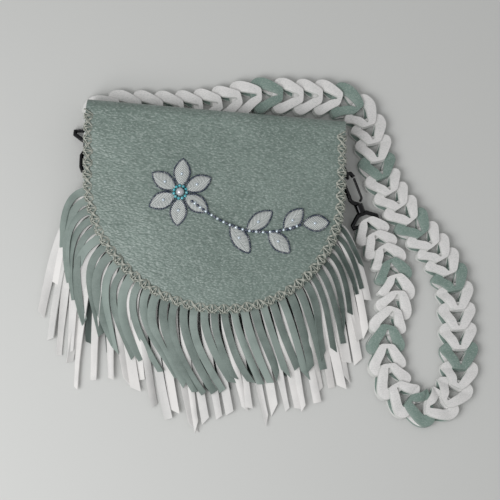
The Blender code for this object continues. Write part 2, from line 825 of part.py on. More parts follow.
def make_hook(side_name, eye_bar, ring_bow, metal, collection, cutters, flip):
    """Swivel snap hook: eye with its post, hook with its barrel, and sprung gate."""
    ahead = (ring_bow - eye_bar).normalized()
    side = Vector((-ahead.y, ahead.x, 0.0)).normalized() * flip
    eye_points = [
        (0.0, EYE_HALF),
        (0.0, -EYE_HALF),
        (EYE_LENGTH * 0.35, -EYE_HALF),
        (EYE_LENGTH, -EYE_HALF * 0.35),
        (EYE_LENGTH, EYE_HALF * 0.35),
        (EYE_LENGTH * 0.35, EYE_HALF),
    ]
    eye = wire(f"{side_name}_swivel_eye", place_in(eye_bar, ahead, side, eye_points), EYE_WIRE,
               metal, collection, closed=True)
    post_start = eye_bar + ahead * EYE_LENGTH
    post = turned(f"{side_name}_post", [(0.0, POST_LENGTH), (POST_RADIUS, POST_LENGTH),
                  (POST_RADIUS, 0.0), (0.0, 0.0)], post_start, ahead, metal, cutters)
    unite(eye, post)
    barrel_start = post_start + ahead * (EYE_WIRE + GAP)
    bore = POST_RADIUS + BORE_CLEARANCE
    bore_end = POST_LENGTH - EYE_WIRE
    barrel = turned(f"{side_name}_hook", [(0.0, BARREL_LENGTH), (BARREL_RADIUS, BARREL_LENGTH),
                    (BARREL_RADIUS, 0.0), (bore, 0.0), (bore, bore_end), (0.0, bore_end)],
                    barrel_start, ahead, metal, collection)
    reach = (ring_bow - barrel_start).length + RING_WIRE + GAP + HOOK_WIRE
    jaw = [
        (BARREL_LENGTH - 0.0012, 0.0),
        (BARREL_LENGTH + 0.0006, 0.0004),
        (BARREL_LENGTH + 0.0030, 0.0038),
        (BARREL_LENGTH + 0.0062, JAW_HALF),
        (reach - 0.0060, JAW_HALF),
        (reach - JAW_SHOULDER, 0.0042),
        (reach, 0.0),
        (reach - JAW_SHOULDER, -0.0044),
        (reach - 0.0055, -GATE_SIDE),
    ]
    bend = wire(f"{side_name}_bend", place_in(barrel_start, ahead, side, jaw), HOOK_WIRE, metal, cutters)
    unite(barrel, bend)
    gate_start = BARREL_LENGTH + GATE_WIRE + GAP + GATE_PLAY
    gate_points = [
        (gate_start, -GATE_PIVOT_SIDE),
        (BARREL_LENGTH + 0.0045, -GATE_MID_SIDE),
        (reach - 0.0055 - GAP - TIP_SLANT, -GATE_SIDE),
    ]
    places = place_in(barrel_start, ahead, side, gate_points)
    gate = wire(f"{side_name}_gate", places, GATE_WIRE, metal, collection)
    gate_joint = hang(f"{side_name}_gate_hinge", places[0], [gate], collection)
    hang(f"{side_name}_hook_swivel", barrel_start, [barrel, gate_joint], collection)


def make_keeper(middle, tail, onward, leather, collection):
    """Closed strip round the strap's end bar and the left swivel eye, bent between the two."""
    up = Vector((0.0, 0.0, 1.0))
    inner_half = LINK_LEATHER + 2 * GAP
    outer_half = inner_half + KEEPER_LEATHER
    steps = 12
    rings = []
    for step in range(steps):
        angle = 2 * math.pi * (step + 0.5) / steps
        if math.cos(angle) > 0:
            ahead = onward
            end = middle + onward * KEEPER_LENGTH / 2
        else:
            ahead = tail
            end = middle - tail * KEEPER_LENGTH / 2
        side = Vector((-ahead.y, ahead.x, 0.0)) * KEEPER_HALF
        way = ahead * math.cos(angle) + up * math.sin(angle)
        inner = end + way * inner_half
        outer = end + way * outer_half
        rings.append([inner - side, inner + side, outer + side, outer - side])
    add_part("strap_keeper", hoop_mesh("strap_keeper", rings), leather, collection)


def hoop_mesh(name, rings):
    """Closed solid through rings that come back to the first one."""
    mesh = bpy.data.meshes.new(name)
    build = bmesh.new()
    loops = [[build.verts.new(point) for point in ring] for ring in rings]
    for index, near in enumerate(loops):
        far = loops[(index + 1) % len(loops)]
        for corner in range(len(near)):
            after = (corner + 1) % len(near)
            build.faces.new((near[corner], near[after], far[after], far[corner]))
    bmesh.ops.recalc_face_normals(build, faces=build.faces)
    build.to_mesh(mesh)
    build.free()
    return mesh


# Beadwork sprig


def prism(name, outline, material, collection):
    """Flat plate on the flap: its outline is extruded, then follows the flap's height."""
    mesh = bpy.data.meshes.new(name)
    build = bmesh.new()
    base = PANEL_LEATHER / 2 + GAP
    low = [build.verts.new((p.x, p.y, flap_height(p.x, p.y) + base)) for p in outline]
    high = [build.verts.new((v.co.x, v.co.y, v.co.z + SPRIG_THICKNESS)) for v in low]
    count = len(outline)
    for index in range(count):
        after = (index + 1) % count
        build.faces.new((low[index], low[after], high[after], high[index]))
    build.faces.new(list(reversed(low)))
    build.faces.new(high)
    bmesh.ops.recalc_face_normals(build, faces=build.faces)
    build.to_mesh(mesh)
    build.free()
    return add_part(name, mesh, material, collection)


def leaf_outline(root, heading, length, half):
    ahead = Vector((math.cos(heading), math.sin(heading)))
    side = Vector((-ahead.y, ahead.x))
    shape = [(0.0, 0.15), (0.25, 0.78), (0.55, 1.0), (0.85, 0.6), (1.0, 0.0),
             (0.85, -0.6), (0.55, -1.0), (0.25, -0.78), (0.0, -0.15)]
    return [root + ahead * (a * length) + side * (s * half) for a, s in shape]


def leaf_size(share):
    """Leaves grow shorter towards the end of the stem."""
    return LEAF_LENGTH * (1.15 - 0.4 * share)


def stem_drop(share):
    return STEM_BOW * math.sin(share * 2.6) + STEM_END_DROP * share


def stem_length():
    """The stem runs on until the end leaf's tip stops short of the lacing."""
    share, turn = LEAF_PLACES[-1]
    y = SPRIG_Y - stem_drop(share)
    down = max(ROUND_Y - y, 0.0) / FLAP_ROUND_DROP
    flap_side = centre_x(y) + FLAP_HALF_WIDTH * math.sqrt(1.0 - down * down)
    end_x = flap_side - LACING_REACH - STEM_END_CLEAR - leaf_size(share) * math.cos(turn)
    return (end_x - SPRIG_X) / share


def stem_point(share):
    """The sprig's stem leaves the flower and runs down to the right in a low curve."""
    return Vector((SPRIG_X + stem_length() * share, SPRIG_Y - stem_drop(share)))


def make_sprig(collection, cutters, beadwork):
    centre = Vector((SPRIG_X, SPRIG_Y))
    hub = [centre + Vector((math.cos(a), math.sin(a))) * HUB_RADIUS
           for a in (2 * math.pi * k / 12 for k in range(12))]
    sprig = prism("beadwork_sprig", hub, beadwork, collection)
    outlines = []
    for petal in range(PETALS):
        heading = 2 * math.pi * (petal + 0.5) / PETALS
        root = centre + Vector((math.cos(heading), math.sin(heading))) * HUB_RADIUS * 0.6
        outlines.append(leaf_outline(root, heading, PETAL_LENGTH - HUB_RADIUS * 0.6, PETAL_HALF))
    stem_steps = 10
    left = []
    right = []
    for step in range(stem_steps + 1):
        share = 0.03 + 0.97 * step / stem_steps
        ahead = (stem_point(share + 0.01) - stem_point(share - 0.01)).normalized()
        side = Vector((-ahead.y, ahead.x)) * STEM_HALF
        left.append(stem_point(share) + side)
        right.append(stem_point(share) - side)
    outlines.append(left + list(reversed(right)))
    for share, turn in LEAF_PLACES:
        outlines.append(leaf_outline(stem_point(share), turn, leaf_size(share), LEAF_HALF))
    for index, outline in enumerate(outlines):
        unite(sprig, prism(f"sprig_{index}", outline, beadwork, cutters))
    return sprig


def make_bag():
    clear_scene()
    parts = new_collection("fringed_leather_bag")
    cutters = new_collection("cutters")
    sage = surface("sage_leather", (0.21, 0.29, 0.26), 0.55)
    sage_split = surface("sage_split_leather", (0.27, 0.35, 0.32), 0.7)
    white = surface("white_leather", (0.80, 0.79, 0.78), 0.6)
    sinew = surface("waxed_sinew", (0.32, 0.34, 0.30), 0.5)
    metal = surface("black_metal", (0.01, 0.01, 0.012), 0.25, 1.0)
    beadwork = surface("beadwork", (0.10, 0.12, 0.16), 0.3)

    make_back_panel(parts, sage)
    make_gusset(parts, sage)
    make_front_panel(parts, sage)
    flap = make_flap(parts, sage)
    lacing = make_lacing(parts, sinew)
    band = (BAND_WIDTH, 0.0)
    span = (FRINGE_LEFT_SHORT - QUARTER, QUARTER - FRINGE_RIGHT_SHORT)
    upper = make_fringe("flap_fringe_sage", SAGE_HEM, 2, band, span, STRIP_PITCH, parts, sage_split)
    lower = make_fringe("flap_fringe_white", WHITE_HEM, 1, band, span, STRIP_PITCH, parts, white)
    sprig = make_sprig(parts, cutters, beadwork)
    hinge_place = Vector((centre_x(HINGE_Y), HINGE_Y - GAP, FLAP_TOP_Z + PANEL_LEATHER / 2))
    hang("flap_hinge", hinge_place, [flap, lacing, upper, lower, sprig], parts)
    make_body_fringe(parts, sage_split)
    make_strap(parts, cutters, white, sage)
    make_side_hardware(parts, cutters, sage, metal, white)


def make_body_fringe(collection, leather):
    """Fringe sewn into the bottom seam, lying flat beside the back panel."""
    seat = POUCH_INSET - SEAM_GAP
    band = (seat, seat - BODY_BAND_WIDTH)
    span = (BODY_LEFT_SHORT - QUARTER, QUARTER - BODY_RIGHT_SHORT)
    make_fringe("body_fringe", BODY_HEM, 0, band, span, BODY_STRIP_PITCH, collection, leather)


def make_side_hardware(collection, cutters, leather, metal, white):
    """Right: the strap's last fold holds the eye. Left: a keeper ties the eye to the strap's end."""
    bow_reach = RING_REACH - BOW_PLAY
    bar = make_tab("right_side_tab", RIGHT_RING_Y, -1, 1, leather, collection)
    eye_bar = on_strap(LAST_LINK, LINK_LEATHER + GAP + EYE_WIRE + FOLD_SEAT, 0.0, 0.0)
    flat = level_heading(bar, eye_bar)
    ring = make_ring("right_dee_ring", bar, flat, metal, collection)
    hang("right_ring_turn", bar, [ring], collection)
    make_hook("right", eye_bar, bar + flat * bow_reach, metal, collection, cutters, 1)

    bar = make_tab("left_side_tab", LEFT_RING_Y, 1, -1, leather, collection)
    end_bar = on_strap(FIRST_LINK, (BAR_FRONT + BAR_BACK) / 2, 0.0, 0.0)
    tail = level_heading(on_strap(FIRST_LINK, BAR_FRONT, 0.0, 0.0), end_bar)
    middle = end_bar + tail * KEEPER_AHEAD
    onward = level_heading(middle, bar)
    make_keeper(middle, tail, onward, white, collection)
    eye_bar = middle + onward * (KEEPER_LENGTH / 2 - EYE_WIRE - FOLD_SEAT)
    flat = level_heading(bar, eye_bar)
    ring = make_ring("left_dee_ring", bar, flat, metal, collection)
    hang("left_ring_turn", bar, [ring], collection)
    make_hook("left", eye_bar, bar + flat * bow_reach, metal, collection, cutters, -1)


make_bag()
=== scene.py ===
# Looks of the fringed leather shoulder bag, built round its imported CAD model.
# The bag lies on its back: +Z is up and +Y points to the fold of the flap.

import math
import random

import bmesh
import bpy
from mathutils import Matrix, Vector, noise


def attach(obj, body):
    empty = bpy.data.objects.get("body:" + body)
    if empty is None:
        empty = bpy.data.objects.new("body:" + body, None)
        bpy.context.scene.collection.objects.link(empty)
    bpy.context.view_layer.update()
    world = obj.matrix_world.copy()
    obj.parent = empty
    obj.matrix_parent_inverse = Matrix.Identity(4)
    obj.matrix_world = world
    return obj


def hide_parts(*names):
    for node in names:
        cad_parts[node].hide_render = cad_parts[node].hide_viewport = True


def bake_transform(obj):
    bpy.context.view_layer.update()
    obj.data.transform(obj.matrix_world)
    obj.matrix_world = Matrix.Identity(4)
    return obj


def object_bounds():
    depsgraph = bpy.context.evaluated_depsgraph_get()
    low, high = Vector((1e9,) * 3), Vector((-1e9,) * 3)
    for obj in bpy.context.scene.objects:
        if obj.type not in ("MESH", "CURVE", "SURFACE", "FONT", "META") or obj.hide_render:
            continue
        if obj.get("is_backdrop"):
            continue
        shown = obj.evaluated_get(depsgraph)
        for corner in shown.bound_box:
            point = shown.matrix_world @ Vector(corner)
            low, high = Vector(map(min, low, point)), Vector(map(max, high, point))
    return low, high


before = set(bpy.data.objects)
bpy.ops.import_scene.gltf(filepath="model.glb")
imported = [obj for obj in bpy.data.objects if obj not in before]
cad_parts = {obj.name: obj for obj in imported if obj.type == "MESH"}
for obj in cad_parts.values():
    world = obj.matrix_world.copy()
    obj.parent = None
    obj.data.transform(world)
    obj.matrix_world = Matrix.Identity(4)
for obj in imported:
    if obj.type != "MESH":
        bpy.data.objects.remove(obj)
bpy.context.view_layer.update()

# Flap
# One hide runs from the flap's round edge over the top fold and down the back. It is
# chrome-tanned cowhide with a soft pebbled grain, cut with a knife and left soft.

ORIGIN_X = 0.0133
ORIGIN_Y = 0.0023
BAG_X = -0.0460
LIE_SKEW = 0.070
FLAP_HALF_WIDTH = 0.1285
FLAP_ROUND_DROP = 0.1235
FLAP_STRAIGHT = 0.0765
FOLD_Y = 0.1365
FLAP_TOP_Z = 0.0310
FLAP_SAG = 0.0075
SAG_RUN = 0.110
PANEL_LEATHER = 0.0020
STRAP_HEIGHT = 0.0081
TURN_CLEAR = 0.0003
HINGE_LAND = 0.0040
BACK_TOP_Z = STRAP_HEIGHT + TURN_CLEAR + PANEL_LEATHER / 2
TURN_RADIUS = (FLAP_TOP_Z - BACK_TOP_Z) / 2
TURN_Y = FOLD_Y - TURN_RADIUS - PANEL_LEATHER / 2
HINGE_Y = TURN_Y - HINGE_LAND
ROUND_Y = FOLD_Y - FLAP_STRAIGHT
ROUND_MEAN = (FLAP_HALF_WIDTH + FLAP_ROUND_DROP) / 2
QUARTER = ROUND_MEAN * math.pi / 2
SAGE = "#72827B"
SAGE_LIGHT = "#83938C"
# Colour painted into the grooves between pebbles as their shade
SAGE_GROOVE_SHADE = "#4E5C56"
# Pale colour painted on the pebbles' tips as glints, and how much of it shows
PAINTED_GLINT = "#B9C4BF"
PAINTED_GLINT_SHARE = 0.36
# How much of the painted groove shade shows
GROOVE_SHADE_SHARE = 0.42
PEBBLE_MM = 1.7
CREASE_MM = 9.0
GRAIN_DEPTH = 0.00055
GRAIN_STRETCH = 0.5
GRAIN_TURN = math.radians(6)
GRAIN_PULL = 0.0009
FLAP_COLUMNS = 56
FLAP_ROWS = 48
TURN_STEPS = 12
FLAT_AT_FOLD = 0.020
# Slow and quick waves of the leather: height, and turns of the noise in a metre
WAVES = ((0.0015, 22.0, 0.0), (0.0008, 60.0, 3.0))


def linear(hex_colour):
    """sRGB hex colour as linear red, green, blue and alpha."""
    parts = [int(hex_colour[i:i + 2], 16) / 255 for i in (1, 3, 5)]
    values = [c / 12.92 if c <= 0.04045 else ((c + 0.055) / 1.055) ** 2.4 for c in parts]
    return (*values, 1.0)


def feed(tree, node, inputs):
    """Set a node's inputs; each is a value or the socket that feeds it."""
    for key, value in inputs.items():
        if isinstance(value, bpy.types.NodeSocket):
            tree.links.new(value, node.inputs[key])
        else:
            node.inputs[key].default_value = value


def add_node(tree, kind, inputs=None, **settings):
    """Node with its settings and its inputs."""
    node = tree.nodes.new(kind)
    for key, value in settings.items():
        setattr(node, key, value)
    feed(tree, node, inputs or {})
    return node


def new_material(name):
    """Material with its tree and its shader."""
    material = bpy.data.materials.new(name)
    material.use_nodes = True
    return material, material.node_tree, material.node_tree.nodes["Principled BSDF"]


def object_place(tree):
    """Socket with the object's own coordinates, in metres."""
    return add_node(tree, "ShaderNodeTexCoord").outputs["Object"]


def mix_colours(tree, share, first, second):
    """Socket with the mix of two colours; each is a socket or a linear colour."""
    return add_node(tree, "ShaderNodeMix", {0: share, 6: first, 7: second}, data_type="RGBA").outputs[2]


def grain_leather(name, light, middle, groove_shade, pebble_mm, crease_mm, depth, roughness):
    """Grain side of a hide: pebbles parted by fine grooves, over soft creases, with painted shade in the
    grooves and painted glints on the pebbles' tips.
    """
    material, tree, shader = new_material(name)
    place = object_place(tree)
    lay = add_node(tree, "ShaderNodeMapping", {
        "Vector": place, "Rotation": (0.0, 0.0, GRAIN_TURN), "Scale": (GRAIN_STRETCH, 1.0, 1.0)})
    warp = add_node(tree, "ShaderNodeTexNoise", {
        "Vector": lay.outputs[0], "Scale": 300.0 / pebble_mm, "Detail": 2.0})
    pull = add_node(tree, "ShaderNodeMix", {0: GRAIN_PULL, 4: lay.outputs[0], 5: warp.outputs["Color"]},
                    data_type="VECTOR", clamp_factor=False)
    pebbles = add_node(tree, "ShaderNodeTexVoronoi", {
        "Vector": pull.outputs[1], "Scale": 1000.0 / pebble_mm, "Randomness": 0.9}, feature="SMOOTH_F1")
    creases = add_node(tree, "ShaderNodeTexNoise", {
        "Vector": lay.outputs[0], "Scale": 1000.0 / crease_mm, "Detail": 5.0, "Roughness": 0.62})
    # Dye that has taken unevenly, painted shade darkening the grooves, and painted glints: pale flecks that
    # stand in for highlights on the pebbles' tips
    mottle = add_node(tree, "ShaderNodeTexNoise", {"Vector": place, "Scale": 22.0, "Detail": 3.0})
    tone = add_node(tree, "ShaderNodeMapRange", {
        "Value": mottle.outputs[0], "From Min": 0.25, "From Max": 0.75})
    dyed = mix_colours(tree, tone.outputs[0], linear(middle), linear(light))
    groove_shade_mask = add_node(tree, "ShaderNodeMapRange", {
        "Value": pebbles.outputs["Distance"], "From Min": 0.30, "From Max": 0.75, "To Max": GROOVE_SHADE_SHARE})
    grained = mix_colours(tree, groove_shade_mask.outputs[0], dyed, linear(groove_shade))
    glint_noise = add_node(tree, "ShaderNodeTexNoise", {
        "Vector": pull.outputs[1], "Scale": 1400.0 / pebble_mm, "Detail": 1.0})
    glint_mask = add_node(tree, "ShaderNodeMapRange", {
        "Value": glint_noise.outputs[0], "From Min": 0.54, "From Max": 0.62, "To Max": PAINTED_GLINT_SHARE})
    glinted = mix_colours(tree, glint_mask.outputs[0], grained, linear(PAINTED_GLINT))
    soft = add_node(tree, "ShaderNodeBump", {
        "Height": creases.outputs[0], "Strength": 0.55, "Distance": depth * 3})
    fine = add_node(tree, "ShaderNodeBump", {
        "Height": pebbles.outputs["Distance"], "Strength": 0.8, "Distance": depth * 1.8,
        "Normal": soft.outputs[0]}, invert=True)
    feed(tree, shader, {"Base Color": glinted, "Normal": fine.outputs[0], "Roughness": roughness})
    return material


# Pebbled cowhide: tumbled until the grain stands up in pebbles, then waxed. Pale glints painted on the
# pebbles' tips and shade painted into the grooves stand in for the light. The pebbles are drawn coarser than
# they are.
sage_leather = grain_leather("sage_pebbled_cowhide", SAGE_LIGHT, SAGE, SAGE_GROOVE_SHADE,
                             PEBBLE_MM, CREASE_MM, GRAIN_DEPTH, roughness=0.36)


def centre_x(y):
    """Middle line of the bag, which lies a little askew."""
    return BAG_X + LIE_SKEW * (FOLD_Y - y)


def smooth_step(value):
    """Soft ramp from 0 to 1."""
    value = min(max(value, 0.0), 1.0)
    return value * value * (3.0 - 2.0 * value)


def rim(distance, inset=0.0):
    """Point on the flap's edge, measured from the bottom of its curve, and the way out of it."""
    half = FLAP_HALF_WIDTH - inset
    drop = FLAP_ROUND_DROP - inset
    side = 1.0 if distance > 0 else -1.0
    if abs(distance) <= QUARTER:
        angle = distance / ROUND_MEAN
        y = ROUND_Y - drop * math.cos(angle)
        x = half * math.sin(angle)
        outward = Vector((math.sin(angle) / half, -math.cos(angle) / drop)).normalized()
    else:
        y = ROUND_Y + abs(distance) - QUARTER
        x = side * half
        outward = Vector((side, 0.0))
    return Vector((x + centre_x(y), y)), outward


def flap_height(x, y):
    """Middle surface of the flap: flat near the fold and sunk towards its round edge."""
    across = abs(x - centre_x(y)) / FLAP_HALF_WIDTH
    along = max(0.0, (ROUND_Y - y) / FLAP_ROUND_DROP)
    reach = min(math.hypot(across, along), 1.0)
    return FLAP_TOP_Z - FLAP_SAG * reach**4 * smooth_step((HINGE_Y - y) / SAG_RUN)


def panel_grid(inset, top_y, columns, rows):
    """Even grid of points inside the bag's outline, finer near its edge."""
    straight = top_y - ROUND_Y
    side_run = straight + QUARTER / 2
    top_left = rim(-(QUARTER + straight), inset)[0]
    top_right = rim(QUARTER + straight, inset)[0]
    low_left = rim(-QUARTER / 2, inset)[0]
    low_right = rim(QUARTER / 2, inset)[0]
    grid = []
    for row in range(rows + 1):
        share = row / rows
        v = (share + math.sin(math.pi / 2 * share)) / 2
        left = rim(-(QUARTER + straight) + v * side_run, inset)[0]
        right = rim(QUARTER + straight - v * side_run, inset)[0]
        line = []
        for column in range(columns + 1):
            s = (1 - math.cos(math.pi * column / columns)) / 2
            top = top_left.lerp(top_right, s)
            bottom = rim(-QUARTER / 2 + s * QUARTER, inset)[0]
            corners = top_left.lerp(top_right, s) * (1 - v) + low_left.lerp(low_right, s) * v
            line.append(top * (1 - v) + bottom * v + left.lerp(right, s) - corners)
        grid.append(line)
    return grid


def add_object(name, data):
    thing = bpy.data.objects.new(name, data)
    bpy.context.scene.collection.objects.link(thing)
    return thing


def new_piece(name, points, faces, material):
    """Mesh object whose points are given in the frame that the bag was laid out in."""
    mesh = bpy.data.meshes.new(name)
    mesh.from_pydata([(p[0] - ORIGIN_X, p[1] - ORIGIN_Y, p[2]) for p in points], [], faces)
    mesh.materials.append(material)
    mesh.shade_smooth()
    piece = add_object(name, mesh)
    return piece


def grid_faces(rows, columns, first=0):
    """Quads of a grid of (rows + 1) by (columns + 1) points, facing up."""
    faces = []
    for row in range(rows):
        for column in range(columns):
            a = first + row * (columns + 1) + column
            b = a + columns + 1
            faces.append((a, b, b + 1, a + 1))
    return faces


def thicken(piece, thickness, rounding=0.0, smooth=False):
    """Leather's thickness about the middle surface, with rounded cut edges."""
    wall = piece.modifiers.new("leather", "SOLIDIFY")
    wall.thickness = thickness
    wall.offset = 0.0
    wall.use_even_offset = True
    if rounding:
        round_edges(piece, rounding, 2)
    if smooth:
        surface = piece.modifiers.new("smooth", "SUBSURF")
        surface.levels = 1
        surface.render_levels = 1


def round_edges(piece, width, segments):
    edge = piece.modifiers.new("round edges", "BEVEL")
    edge.width = width
    edge.segments = segments
    edge.limit_method = "ANGLE"
    edge.angle_limit = math.radians(50)
    edge.harden_normals = True


grid = panel_grid(0.0, HINGE_Y, FLAP_COLUMNS, FLAP_ROWS)
turn_middle_z = (FLAP_TOP_Z + BACK_TOP_Z) / 2
flap_points = []
for step in range(TURN_STEPS + 1):
    angle = math.pi * step / TURN_STEPS - math.pi / 2
    out = TURN_RADIUS * math.cos(angle)
    rise = TURN_RADIUS * math.sin(angle)
    flap_points += [(p.x, TURN_Y + out, turn_middle_z + rise) for p in grid[0]]
for line in grid:
    for p in line:
        wave = sum(high * noise.noise(Vector((p.x, p.y, level)) * turns) for high, turns, level in WAVES)
        wave *= smooth_step((HINGE_Y - p.y) / FLAT_AT_FOLD)
        flap_points.append((p.x, p.y, flap_height(p.x, p.y) + wave))
flap_leather = new_piece("flap_leather", flap_points,
                         grid_faces(TURN_STEPS + 1 + FLAP_ROWS, FLAP_COLUMNS), sage_leather)
thicken(flap_leather, PANEL_LEATHER, smooth=True)
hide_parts("flap")
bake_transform(flap_leather)

# Pouch: back, gusset and front
# The back is the same hide as the flap. The front and the narrow side gusset are cut from
# it too and sewn edge to edge; the front stops short of the fold and leaves the mouth.

POUCH_INSET = 0.0110
MOUTH_Y = 0.0950
FLAP_LIFT = 0.0012
SEAM_GAP = 0.0006
BACK_RAISED_FROM_Y = 0.0920
BACK_DOWN_AT_Y = -0.0450
BACK_FLOOR_Z = 0.0013
POUCH_COLUMNS = 32
POUCH_ROWS = 30
GUSSET_STEPS = 110
GUSSET_LEVELS = 6
GUSSET_FOLD = 0.0030
GUSSET_LEATHER = 0.0016


def back_height(y):
    """Middle of the back: on the floor below, raised over the strap near the fold."""
    rise = smooth_step((y - BACK_DOWN_AT_Y) / (BACK_RAISED_FROM_Y - BACK_DOWN_AT_Y))
    return BACK_FLOOR_Z + (BACK_TOP_Z - BACK_FLOOR_Z) * rise


def front_height(x, y):
    """Middle of the front, close under the flap."""
    return flap_height(x, y) - PANEL_LEATHER - FLAP_LIFT


grid = panel_grid(POUCH_INSET, TURN_Y, POUCH_COLUMNS, POUCH_ROWS)
back_points = []
for line in grid:
    for p in line:
        share = smooth_step((p.y - MOUTH_Y) / (TURN_Y - MOUTH_Y))
        wider = 1.0 + share * POUCH_INSET / (FLAP_HALF_WIDTH - POUCH_INSET)
        middle = centre_x(p.y)
        back_points.append((middle + (p.x - middle) * wider, p.y, back_height(p.y)))
back_leather = new_piece("back_leather", back_points, grid_faces(POUCH_ROWS, POUCH_COLUMNS),
                         sage_leather)
thicken(back_leather, PANEL_LEATHER, smooth=True)
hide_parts("back_panel")
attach(back_leather, "bag")

grid = panel_grid(POUCH_INSET, MOUTH_Y, POUCH_COLUMNS, POUCH_ROWS)
front_points = [(p.x, p.y, front_height(p.x, p.y)) for line in grid for p in line]
front_leather = new_piece("front_leather", front_points, grid_faces(POUCH_ROWS, POUCH_COLUMNS),
                          sage_leather)
thicken(front_leather, PANEL_LEATHER, smooth=True)
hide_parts("front_panel")
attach(front_leather, "bag")

gusset_run = QUARTER + MOUTH_Y - ROUND_Y
gusset_inset = POUCH_INSET + PANEL_LEATHER / 2 + SEAM_GAP
gusset_clear = PANEL_LEATHER / 2 + SEAM_GAP
gusset_points = []
for level in range(GUSSET_LEVELS + 1):
    share = level / GUSSET_LEVELS
    for step in range(GUSSET_STEPS + 1):
        distance = -gusset_run + 2 * gusset_run * step / GUSSET_STEPS
        p, outward = rim(distance, gusset_inset)
        p = p + outward * (GUSSET_FOLD * math.sin(math.pi * share))
        low = back_height(p.y) + gusset_clear
        high = front_height(p.x, p.y) - gusset_clear
        gusset_points.append((p.x, p.y, low + (high - low) * share))
gusset_leather = new_piece("gusset_leather", gusset_points, grid_faces(GUSSET_LEVELS, GUSSET_STEPS),
                           sage_leather)
thicken(gusset_leather, GUSSET_LEATHER)
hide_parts("gusset")
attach(gusset_leather, "bag")

# Lacing round the flap
# One long cord of waxed sinew. It goes up through each punched hole and over the edge again
# and again, so that a fan of turns leaves every hole, drawn down into the soft leather.

HOLE_PITCH = 0.0117
HOLE_INSET = 0.0078
# Where the turns of one hole cross the edge, measured along it
FAN = (-0.0112, -0.0084, -0.0014, 0.0014, 0.0084, 0.0112)
HOLE_SPREAD = 0.12
CORD_RADIUS = 0.00058
EDGE_OUT = 0.0012
LACING_STOP = -0.0035
SINEW_DARK = "#878C83"
SINEW_LIGHT = "#BDBFB5"
STRAND_SCALE = 100.0

# Waxed artificial sinew: split polyester drawn through wax, which leaves greyish strands with
# a low sheen. The strands are too fine to show, so they are drawn as wider streaks.
sinew, tree, shader = new_material("waxed_artificial_sinew")
strands = add_node(tree, "ShaderNodeTexWave", {
    "Vector": object_place(tree), "Scale": STRAND_SCALE, "Distortion": 3.0, "Detail": 2.0},
    bands_direction="DIAGONAL")
waxed = mix_colours(tree, strands.outputs[1], linear(SINEW_DARK), linear(SINEW_LIGHT))
twist = add_node(tree, "ShaderNodeBump", {"Height": strands.outputs[1], "Strength": 0.5, "Distance": 0.0003})
feed(tree, shader, {"Base Color": waxed, "Normal": twist.outputs[0], "Roughness": 0.45})


def over_flap(point, lift):
    """Place a point of the cord at its height over the flap's middle surface."""
    return (point.x - ORIGIN_X, point.y - ORIGIN_Y, flap_height(point.x, point.y) + lift)


def cord_tree():
    """Geometry Nodes: a polyline becomes a smooth round cord."""
    group = bpy.data.node_groups.new("lacing_cord", "GeometryNodeTree")
    group.interface.new_socket("Route", in_out="INPUT", socket_type="NodeSocketGeometry")
    radius = group.interface.new_socket("Cord radius", in_out="INPUT", socket_type="NodeSocketFloat")
    finish = group.interface.new_socket("Finish", in_out="INPUT", socket_type="NodeSocketMaterial")
    group.interface.new_socket("Cord", in_out="OUTPUT", socket_type="NodeSocketGeometry")
    entry = add_node(group, "NodeGroupInput")
    line = add_node(group, "GeometryNodeMeshToCurve", {"Mesh": entry.outputs["Route"]})
    bent = add_node(group, "GeometryNodeCurveSplineType", {"Curve": line.outputs[0]},
                    spline_type="CATMULL_ROM")
    fine = add_node(group, "GeometryNodeSetSplineResolution", {0: bent.outputs[0], "Resolution": 3})
    round_section = add_node(group, "GeometryNodeCurvePrimitiveCircle",
                             {"Resolution": 6, "Radius": entry.outputs["Cord radius"]})
    tube = add_node(group, "GeometryNodeCurveToMesh", {
        "Curve": fine.outputs[0], "Profile Curve": round_section.outputs[0], "Fill Caps": True})
    close_tree(group, tube, entry.outputs["Finish"], "Cord")
    return group, radius.identifier, finish.identifier


def close_tree(group, made, finish, result):
    """Last nodes of a tree: real points, soft shading and the piece's material."""
    solid = add_node(group, "GeometryNodeRealizeInstances", {0: made.outputs[0]})
    soft = add_node(group, "GeometryNodeSetShadeSmooth", {0: solid.outputs[0]})
    dressed = add_node(group, "GeometryNodeSetMaterial", {"Geometry": soft.outputs[0], "Material": finish})
    add_node(group, "NodeGroupOutput", {result: dressed.outputs[0]})


def grown(name, points, edges, group, values):
    """Run a Geometry Nodes tree on loose points or a polyline and keep the plain mesh."""
    seed = bpy.data.meshes.new(name + "_route")
    seed.from_pydata(points, edges, [])
    holder = add_object(name + "_route", seed)
    grow = holder.modifiers.new("grow", "NODES")
    grow.node_group = group
    for identifier, value in values.items():
        grow[identifier] = value
    bpy.context.view_layer.update()
    shown = holder.evaluated_get(bpy.context.evaluated_depsgraph_get())
    mesh = bpy.data.meshes.new_from_object(shown)
    mesh.name = name
    bpy.data.objects.remove(holder, do_unlink=True)
    piece = add_object(name, mesh)
    return piece


